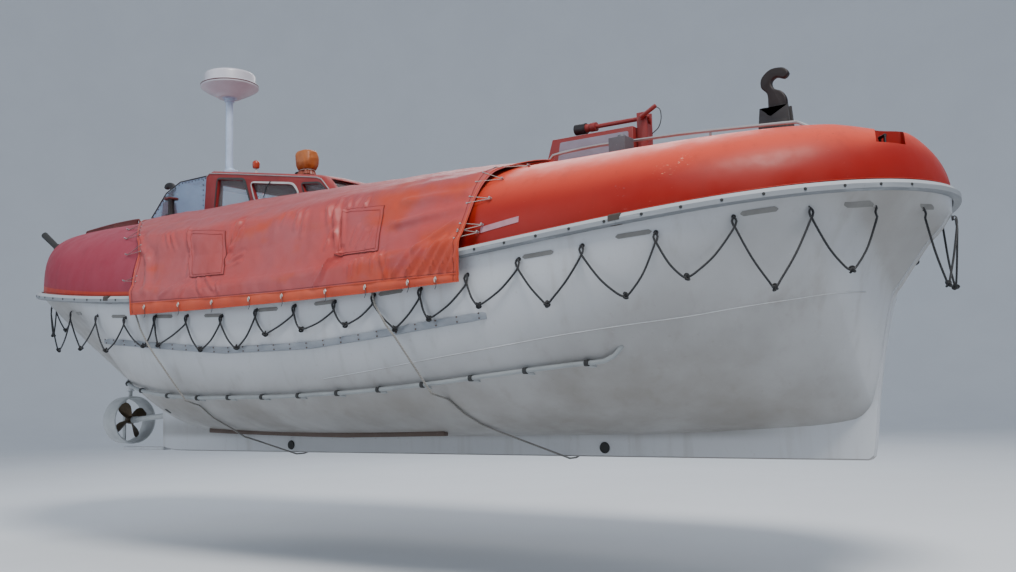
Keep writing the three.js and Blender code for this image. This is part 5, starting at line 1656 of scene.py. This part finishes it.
def make_wheelhouse():
    refined("wheelhouse", "House Red", 0.009, 30, 3)
    dark, white = [], []
    for _, side in SIDES:
        dark.append(window_frame(WINDOW_AFT, side, 0.03, 0.007, 0.035))
        dark.append(window_frame(WINDOW_FORE, side, 0.026, 0.007, 0.03))
        white.append(window_frame(WINDOW_MID, side, 0.026, 0.012, 0.06))
    joined("window_gaskets", dark, "Gasket")
    joined("window_frames", white, "White Paint")
    for node in ("side_glass_starboard", "side_glass_port", "windscreen"):
        refined(node, "Window Glass", 0)
    refined("aft_clear_panel", "Clear Sheet", 0)
    refined("helm_console", "Box Grey", 0.012)
    refined("helm_seat", "Cushion Black", 0.02, 32, 3)

    def on_side(rows, out, drop=0.0):
        """Rows of x and height, set on both sides of the wheelhouse."""
        return [[place(x, side * (HOUSE_HALF + out), h - drop) for x, h in rows]
                for _, side in SIDES]
    strips = [smooth_path(p, 0.04) for p in on_side(HOUSE_TOP, 0.001, 0.046)]
    lines("roof_edge_strips", strips, 0.0065, "Rail Steel", 8)
    arms = on_side([(-1.3, 3.1), (-1.36, 3.03), (-1.41, 2.94)], 0.018)
    for arm, (_, side) in zip(arms, SIDES):
        arm[1].y += side * 0.008
    lines("window_wipers", arms, 0.0055, "Black Steel", 6)
    lines("wiper_blades", on_side([(-1.375, 3.02), (-1.43, 2.925)], 0.012), 0.0045, "Black Rubber",
          6)
    studs = []
    for (x0, h0), (x1, h1) in zip(DODGER_EDGE, DODGER_EDGE[1:]):
        n = max(int(math.hypot(x1 - x0, h1 - h0) / STUD_PITCH), 1)
        for share in (np.arange(n) + 0.5) / n:
            studs.append((x0 + (x1 - x0) * share + 0.012, h0 + (h1 - h0) * share - 0.024))
    studs += [(-2.53, h) for h in np.arange(2.99, 3.32, STUD_PITCH)]
    spots = [(p, Vector((0, side, 0))) for row, (_, side) in zip(on_side(studs, -0.0075), SIDES)
             for p in row]
    fastenings("clear_panel_studs", spots, "Black Rubber", 0.009, 0.005)
    lines("clear_panel_piping", on_side(DODGER_EDGE, -0.008), 0.008, "Gasket", 8)


def lathe(name, profile, centre, mat, sides=72):
    """A turned piece from (radius, height) rows."""
    rings = [[Vector((r * math.cos(a), r * math.sin(a), h)) + centre
              for a in np.linspace(0, 2 * math.pi, sides, endpoint=False)] for r, h in profile]
    verts, faces = skin(rings)
    obj = outward(new_piece(name, verts, faces))
    shade(obj, 32)
    return paint(obj, mat)


def roof_at(x):
    """Height of the wheelhouse's roof."""
    (aft, high), (fore, low) = HOUSE_TOP[1:3]
    return high + (x - aft) * (low - high) / (fore - aft) + 0.008


def make_roof_gear():
    mast = place(*RADAR, 4.34)
    dome = lathe("radome_dome", [
        (0.02, 0.0004), (0.138, 0.0004), (0.146, 0.005), (0.152, 0.014), (0.2, 0.036),
        (0.27, 0.073), (0.335, 0.114), (0.347, 0.124), (0.35, 0.134), (0.35, 0.148),
        (0.347, 0.157), (0.34, 0.164), (0.314, 0.171), (0.307, 0.178), (0.306, 0.19),
        (0.306, 0.262), (0.303, 0.279), (0.292, 0.292), (0.27, 0.298), (0.2, 0.3),
        (0.01, 0.3004)], mast, "Dome Plastic")
    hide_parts("radome")
    lathe("radome_rim_stripe", [
        (0.34, 0.137), (0.3512, 0.1375), (0.3512, 0.152), (0.34, 0.1525)],
        mast, "Rim Stripe")
    roof = roof_at(RADAR[0]) - DRAFT
    pole = lathe("radar_pole", [(0.045, roof - 0.06 - mast.z), (0.046, -0.002)], mast,
                 "Mast Paint", 40)
    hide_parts("radar_mast")
    lathe("radar_pole_foot", [
        (0.09, -0.03), (0.092, 0.008), (0.088, 0.014), (0.056, 0.016), (0.05, 0.04),
        (0.046, 0.042)],
        Vector((RADAR[0] + 0.02, RADAR[1], roof + 0.002)), "Mast Paint", 40)
    lathe("radar_pole_collar", [
        (0.04, -0.05), (0.056, -0.05), (0.062, -0.044), (0.062, -0.01), (0.09, -0.002),
        (0.04, -0.001)], mast, "Mast Paint", 40)
    at = place(*BEACON, roof_at(BEACON[0]))
    lens = lathe("beacon_lens", [
        (0.012, 0.06), (0.036, 0.066), (0.041, 0.078), (0.044, 0.12), (0.041, 0.138), (0.03, 0.152),
        (0.01, 0.16)], at, "Lamp Lens", 36)
    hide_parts("beacon")
    lathe("beacon_stem", [
        (0.026, -0.035), (0.026, 0.01), (0.015, 0.016), (0.014, 0.062), (0.02, 0.066)], at,
        "White Paint", 28)
    refined("searchlight_bracket", "Black Steel", 0.004)
    make_hood()
    post = place(*DECK_POST, back_at(*DECK_POST, 0.034))
    lathe("deck_post", [
        (0.07, -0.04), (0.07, 0.012), (0.04, 0.02), (0.036, 0.18), (0.05, 0.205), (0.05, 0.212)],
        post, "Post Black", 32)
    lathe("deck_post_plate", [(0.04, 0.206), (0.086, 0.209), (0.086, 0.223), (0.05, 0.227)], post,
          "Dark Red Steel", 32)


# The hood's rows: height over its foot, then half its length and half its width.
HOOD = [
    (0.014, 0.112, 0.104), (0.03, 0.104, 0.097), (0.055, 0.094, 0.088), (0.07, 0.088, 0.083),
    (0.09, 0.108, 0.102), (0.12, 0.124, 0.117), (0.16, 0.135, 0.125), (0.2, 0.138, 0.126),
    (0.245, 0.135, 0.118), (0.28, 0.126, 0.108), (0.3, 0.108, 0.094), (0.312, 0.078, 0.068),
    (0.317, 0.036, 0.03),
]


def make_hood():
    """The cloth bag tied over the searchlight: a slumped shell with gathers at its foot."""
    foot = place(*SEARCHLIGHT, roof_at(SEARCHLIGHT[0]) + 0.02)
    rings, uv = [], []
    sides = 72
    lowest = HOOD[0][0]

    def squared(v):
        return math.copysign(abs(v) ** 0.75, v)
    for t in np.linspace(0, len(HOOD) - 1, 44):
        up, a, b = [float(np.interp(t, range(len(HOOD)), column)) for column in zip(*HOOD)]
        ring = []
        for q in range(sides):
            g = q * 2 * math.pi / sides
            c, s = math.cos(g), math.sin(g)
            gather = 0.008 * (1 - (up - lowest) / 0.302) ** 3 * math.cos(g * 11)
            slump = 0.009 * noise.noise(Vector((c * 1.6, s * 1.6, up * 9)))
            crease = 0.005 * noise.noise(Vector((c * 4, s * 4, up * 22 + 4)))
            k = 1 + (gather + slump + crease - 0.006) / max(a, 0.03)
            ring.append(foot + Vector((a * squared(c) * k, b * squared(s) * k, up)))
            uv.append((g * 0.1, up))
        rings.append(ring)
    verts, faces = skin(rings, caps=False)
    crown, base = len(verts), len(verts) - sides
    verts.append(foot + Vector((0, 0, 0.3165)))
    uv.append((0, 0.32))
    faces += [(base + j, base + (j + 1) % sides, crown) for j in range(sides)]
    hood = new_piece("searchlight_hood", verts, faces, "searchlight", uv=uv)
    face_out(hood)
    # The neck takes the darker copy of the cloth: painted shade under the hood's bulge.
    paint(hood, "Hood Cloth", "Hood Foot")
    for poly in hood.data.polygons:
        poly.material_index = int(poly.center.z < foot.z + 0.085)
    thicken(hood, 0.002)
    shade(hood, 60)
    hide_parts("searchlight")
    handle = [foot + Vector(p) for p in (
        (-0.07, -0.02, 0.062), (-0.135, -0.035, 0.058), (-0.155, -0.04, 0.05))]
    lines("searchlight_handle", [smooth_path(handle, 0.008)], 0.015, "Black Rubber",
          14, "searchlight")
    tie = [foot + Vector((0.092 * math.cos(a), 0.087 * math.sin(a), 0.07))
           for a in np.linspace(0, 2 * math.pi, 40)]
    cord = lines("searchlight_hood_tie", [tie], 0.004, "White Cord", 6,
                 "searchlight")


# Forward gear.
# The trunk's sides, as x and height, and the wire from the folded mast's lamp.
TRUNK_SIDE = [(2.16, 2.86), (2.19, 3.09), (2.98, 3.075), (2.98, 2.8)]
LAMP_WIRE = [(3.235, -0.078, 3.26), (3.29, -0.08, 3.22), (3.3, -0.08, 3.13), (3.27, -0.08, 3.05),
             (3.2, -0.08, 3.0)]


def make_fore_gear():
    refined("name_trunk", "Red Steel", 0.006)
    refined("grey_box", "Box Grey", 0.006, 30, 3)
    refined("light_post", "Red Steel", 0.003)
    refined("light_mast", "Red Steel", 0.002)
    panels = []
    for _, side in SIDES:
        def ring(inset, off):
            corners = [(x + math.copysign(inset, 2.5 - x), h + math.copysign(inset, 2.95 - h))
                       for x, h in TRUNK_SIDE]
            return [(p.x, side * (0.11 + 0.012 * (3.12 - p.y) / 0.42 + off), p.y - DRAFT)
                    for p in rounded(corners, 0.02, 3)]
        panels.append(skin([ring(0.012, -0.01), ring(0.012, 0.003), ring(0.016, 0.004)]))
    joined("trunk_bare_plates", panels, "Bare Plate")
    lines("lamp_wire", [smooth_path([place(*p) for p in LAMP_WIRE], 0.02)], 0.0045, "Black Rubber",
          6)
    lines("lamp_hood", [[place(2.445, 0, 3.2035), place(2.324, 0, 3.207)]], 0.054, "Black Steel",
          32, "light_mast")
    for name, side in SIDES:
        refined("bow_handrail_" + name, "Rail Steel", 0, 50)
        refined("stern_board_" + name, "Dark Red Steel", 0.002, 40)
        refined("stern_bollard_" + name, "Black Rubber", 0.008, 40, 3)
        refined("bow_eye_" + name, "Black Steel", 0.002, 40)


# Where the release hooks stand: x, then the heights of the base's foot and of the pin.
BOW_HOOK, STERN_HOOK = (4.4, 2.716, 3.02), (-4.23, 2.931, 3.335)
# One hook seen from the side: metres along and up from its pin.
JAW = [
    (-0.052, -0.04), (0.052, -0.04), (0.07, 0.02), (0.074, 0.12), (0.116, 0.176), (0.11, 0.244),
    (0.044, 0.296), (-0.05, 0.292), (-0.086, 0.246), (-0.052, 0.214), (0.004, 0.232),
    (0.04, 0.204), (0.026, 0.158), (-0.034, 0.122), (-0.062, 0.06),
]


def make_hook(name, pin, along, up, mat):
    """A forged hook about its pin, with its edges rounded over."""
    curve = smooth_path([Vector((u, w, 0)) for u, w in JAW + JAW[:1]], 0.009)[:-1]
    rings = []
    for y, inset in ((-0.028, 0.011), (-0.026, 0.005), (-0.021, 0.001), (-0.013, 0), (0.013, 0),
                     (0.021, 0.001), (0.026, 0.005), (0.028, 0.011)):
        ring = []
        for i, p in enumerate(curve):
            t = (curve[(i + 1) % len(curve)] - curve[i - 1]).normalized()
            q = p - Vector((t.y, -t.x, 0)) * inset
            ring.append(pin + Vector((q.x * along, y, q.y * up)))
        rings.append(ring)
    verts, faces = skin(rings)
    hook = outward(new_piece(name + "_hook_forged", verts, faces, name + "_hook"))
    shade(hook, 50)
    paint(hook, mat)
    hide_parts(name + "_hook")


def make_hooks_and_screw():
    refined("bow_hook_base", "Black Steel", 0.005)
    make_hook("bow", place(BOW_HOOK[0], 0, BOW_HOOK[2]), -1.25, 1.25, "Worn Jaw")
    make_hook("stern", place(STERN_HOOK[0], 0, STERN_HOOK[2]), 1, 1, "Black Steel")
    refined("stern_hook_base", "Dark Red Steel", 0.005)
    spots = []
    for x, foot, _ in (BOW_HOOK, STERN_HOOK):
        for dx in (-0.15, 0.15):
            for y in (-0.07, 0.07):
                spots.append((place(x + dx, y, foot + 0.038), Vector((0, 0, 1))))
    fastenings("hook_base_bolts", spots, "Zinc", 0.015, 0.014, 0.015, 6)
    refined("propeller", "Bronze", 0.001, 50)
    refined("stern_tube", "White Paint", 0.003, 40)
    refined("rudder_trunk", "Hull Gelcoat", 0.003, 40)
    refined("steering_nozzle", "White Paint", 0.003, 40)


# Properties, operators and the panel.
def size_prop(name, description, default, low, high):
    return FloatProperty(name=name, description=description, default=default, min=low, max=high,
                         unit="LENGTH")


def colour_prop(name, description, default):
    return FloatVectorProperty(name=name, description=description, default=default, min=0, max=1,
                               subtype="COLOR")


class LifeboatSizes(bpy.types.PropertyGroup):
    """Sizes of the dressed boat's small parts."""

    rope: size_prop("Grab line", "Diameter of the grab lines", 0.018, 0.006, 0.03)
    keel_rope: size_prop("Keel line", "Diameter of the lines under the keel", 0.018, 0.006, 0.03)
    loop: size_prop("Loop", "Length of the grab line's loop at each eye", 0.058, 0.04, 0.2)
    eye: size_prop("Eye", "Radius of the rope eyes' rings", 0.015, 0.008, 0.03)
    rail_pitch: size_prop("Rail plugs", "Distance between the rail's plugs", 0.29, 0.1, 1)
    strake_pitch: size_prop("Strake bolts", "Distance between the strake's bolts", 0.22, 0.1, 1)
    pad_length: size_prop("Pad length", "Length of the grey pads", 0.28, 0.1, 0.5)
    pad_height: size_prop("Pad height", "Height of the grey pads", 0.036, 0.02, 0.1)
    cloth: size_prop("Cloth", "Thickness of the side covers' cloth", 0.003, 0.001, 0.008)


class LifeboatColours(bpy.types.PropertyGroup):
    """Main colours of the boat."""

    hull: colour_prop("Hull", "Gelcoat of the hull", (0.52, 0.54, 0.57))
    canopy: colour_prop("Bow canopy", "Gelcoat of the bow canopy and roof", (0.26, 0.005, 0.0015))
    stern: colour_prop("Stern canopy", "Gelcoat of the stern canopy", (0.28, 0.022, 0.045))
    band: colour_prop("Foot band", "Gelcoat round the stern canopy's foot", (0.42, 0.03, 0.01))
    house: colour_prop("Wheelhouse", "Gelcoat of the wheelhouse", (0.19, 0.014, 0.018))
    cover: colour_prop("Covers", "Cloth of the side covers", (0.38, 0.04, 0.034))
    hem: colour_prop("Hem", "Cloth of the covers' hem band", (0.41, 0.034, 0.007))
    rail: colour_prop("Rail", "Rubbing strake round the edge", (0.24, 0.26, 0.285))
    rope: colour_prop("Rope", "Strands of the grab lines", (0.012, 0.014, 0.019))
    floor: colour_prop("Floor", "Floor and backdrop", (0.7, 0.73, 0.77))


class BoatOperator:
    bl_options = {"REGISTER", "UNDO"}


class LIFEBOAT_OT_camera(BoatOperator, bpy.types.Operator):
    """Set the camera below the rail, ahead of the boat"""
    bl_idname = "lifeboat.camera"
    bl_label = "Camera"

    def execute(self, context):
        place_camera()
        return {"FINISHED"}


class LIFEBOAT_OT_grab_lines(BoatOperator, bpy.types.Operator):
    """Hang the grab lines in their bights, with knots and eyes"""
    bl_idname = "lifeboat.grab_lines"
    bl_label = "Grab lines"

    def execute(self, context):
        make_grab_lines(context.scene.lifeboat_sizes)
        return {"FINISHED"}


class LIFEBOAT_OT_keel_lines(BoatOperator, bpy.types.Operator):
    """Draw the two lines tight under the keel"""
    bl_idname = "lifeboat.keel_lines"
    bl_label = "Keel lines"

    def execute(self, context):
        make_keel_lines(context.scene.lifeboat_sizes)
        return {"FINISHED"}


class LIFEBOAT_OT_hull(BoatOperator, bpy.types.Operator):
    """Skin the hull with its knuckle and keel shoe"""
    bl_idname = "lifeboat.hull"
    bl_label = "Hull"

    def execute(self, context):
        make_hull()
        return {"FINISHED"}


class LIFEBOAT_OT_hull_fittings(BoatOperator, bpy.types.Operator):
    """Fit the pads, strakes, grab pipes and bilge bars"""
    bl_idname = "lifeboat.hull_fittings"
    bl_label = "Hull fittings"

    def execute(self, context):
        make_hull_fittings(context.scene.lifeboat_sizes)
        return {"FINISHED"}


class LIFEBOAT_OT_canopies(BoatOperator, bpy.types.Operator):
    """Mould the bow and stern canopies"""
    bl_idname = "lifeboat.canopies"
    bl_label = "Canopies"

    def execute(self, context):
        make_canopies()
        make_roof()
        return {"FINISHED"}


class LIFEBOAT_OT_rails(BoatOperator, bpy.types.Operator):
    """Sweep the rubbing strake round the edge and plug its bolts"""
    bl_idname = "lifeboat.rails"
    bl_label = "Rails"

    def execute(self, context):
        make_rails(context.scene.lifeboat_sizes)
        return {"FINISHED"}


class LIFEBOAT_OT_covers(BoatOperator, bpy.types.Operator):
    """Stretch the side covers, with hems, flaps, toggles and lacing"""
    bl_idname = "lifeboat.covers"
    bl_label = "Side covers"

    def execute(self, context):
        make_covers(context.scene.lifeboat_sizes)
        return {"FINISHED"}


class LIFEBOAT_OT_wheelhouse(BoatOperator, bpy.types.Operator):
    """Finish the wheelhouse, its windows and the clear panel"""
    bl_idname = "lifeboat.wheelhouse"
    bl_label = "Wheelhouse"

    def execute(self, context):
        make_wheelhouse()
        return {"FINISHED"}


class LIFEBOAT_OT_roof_gear(BoatOperator, bpy.types.Operator):
    """Turn the radome, pole and beacon, and tie the hood on the searchlight"""
    bl_idname = "lifeboat.roof_gear"
    bl_label = "Roof gear"

    def execute(self, context):
        make_roof_gear()
        return {"FINISHED"}


class LIFEBOAT_OT_deck_gear(BoatOperator, bpy.types.Operator):
    """Finish the trunk, light mast, handrails, bollards, hooks and screw"""
    bl_idname = "lifeboat.deck_gear"
    bl_label = "Deck gear"

    def execute(self, context):
        make_fore_gear()
        make_hooks_and_screw()
        return {"FINISHED"}


class LIFEBOAT_OT_stage(BoatOperator, bpy.types.Operator):
    """Lay the floor and hang the studio lights"""
    bl_idname = "lifeboat.stage"
    bl_label = "Stage"

    def execute(self, context):
        build_stage()
        return {"FINISHED"}


STEPS = (
    "camera", "grab_lines", "keel_lines", "hull", "hull_fittings", "canopies", "rails", "covers",
    "wheelhouse", "roof_gear", "deck_gear", "stage",
)


class LIFEBOAT_PT_build(bpy.types.Panel):
    """Sizes, colours and the steps in order"""
    bl_idname = "LIFEBOAT_PT_build"
    bl_label = "Lifeboat"
    bl_space_type = "VIEW_3D"
    bl_region_type = "UI"
    bl_category = "Lifeboat"

    def draw(self, context):
        column = self.layout.column(align=True)
        for group in (context.scene.lifeboat_sizes, context.scene.lifeboat_colours):
            for key in group.__annotations__:
                column.prop(group, key)
        for step in STEPS:
            column.operator("lifeboat." + step)


CLASSES = (
    LifeboatSizes, LifeboatColours, LIFEBOAT_OT_camera, LIFEBOAT_OT_grab_lines,
    LIFEBOAT_OT_keel_lines, LIFEBOAT_OT_hull, LIFEBOAT_OT_hull_fittings, LIFEBOAT_OT_canopies,
    LIFEBOAT_OT_rails, LIFEBOAT_OT_covers, LIFEBOAT_OT_wheelhouse, LIFEBOAT_OT_roof_gear,
    LIFEBOAT_OT_deck_gear, LIFEBOAT_OT_stage, LIFEBOAT_PT_build,
)


def register():
    for cls in CLASSES:
        bpy.utils.register_class(cls)
    bpy.types.Scene.lifeboat_sizes = PointerProperty(type=LifeboatSizes)
    bpy.types.Scene.lifeboat_colours = PointerProperty(type=LifeboatColours)


def unregister():
    del bpy.types.Scene.lifeboat_colours
    del bpy.types.Scene.lifeboat_sizes
    for cls in reversed(CLASSES):
        bpy.utils.unregister_class(cls)


def main():
    register()
    for step in STEPS:
        getattr(bpy.ops.lifeboat, step)()


if __name__ == "__main__":
    main()
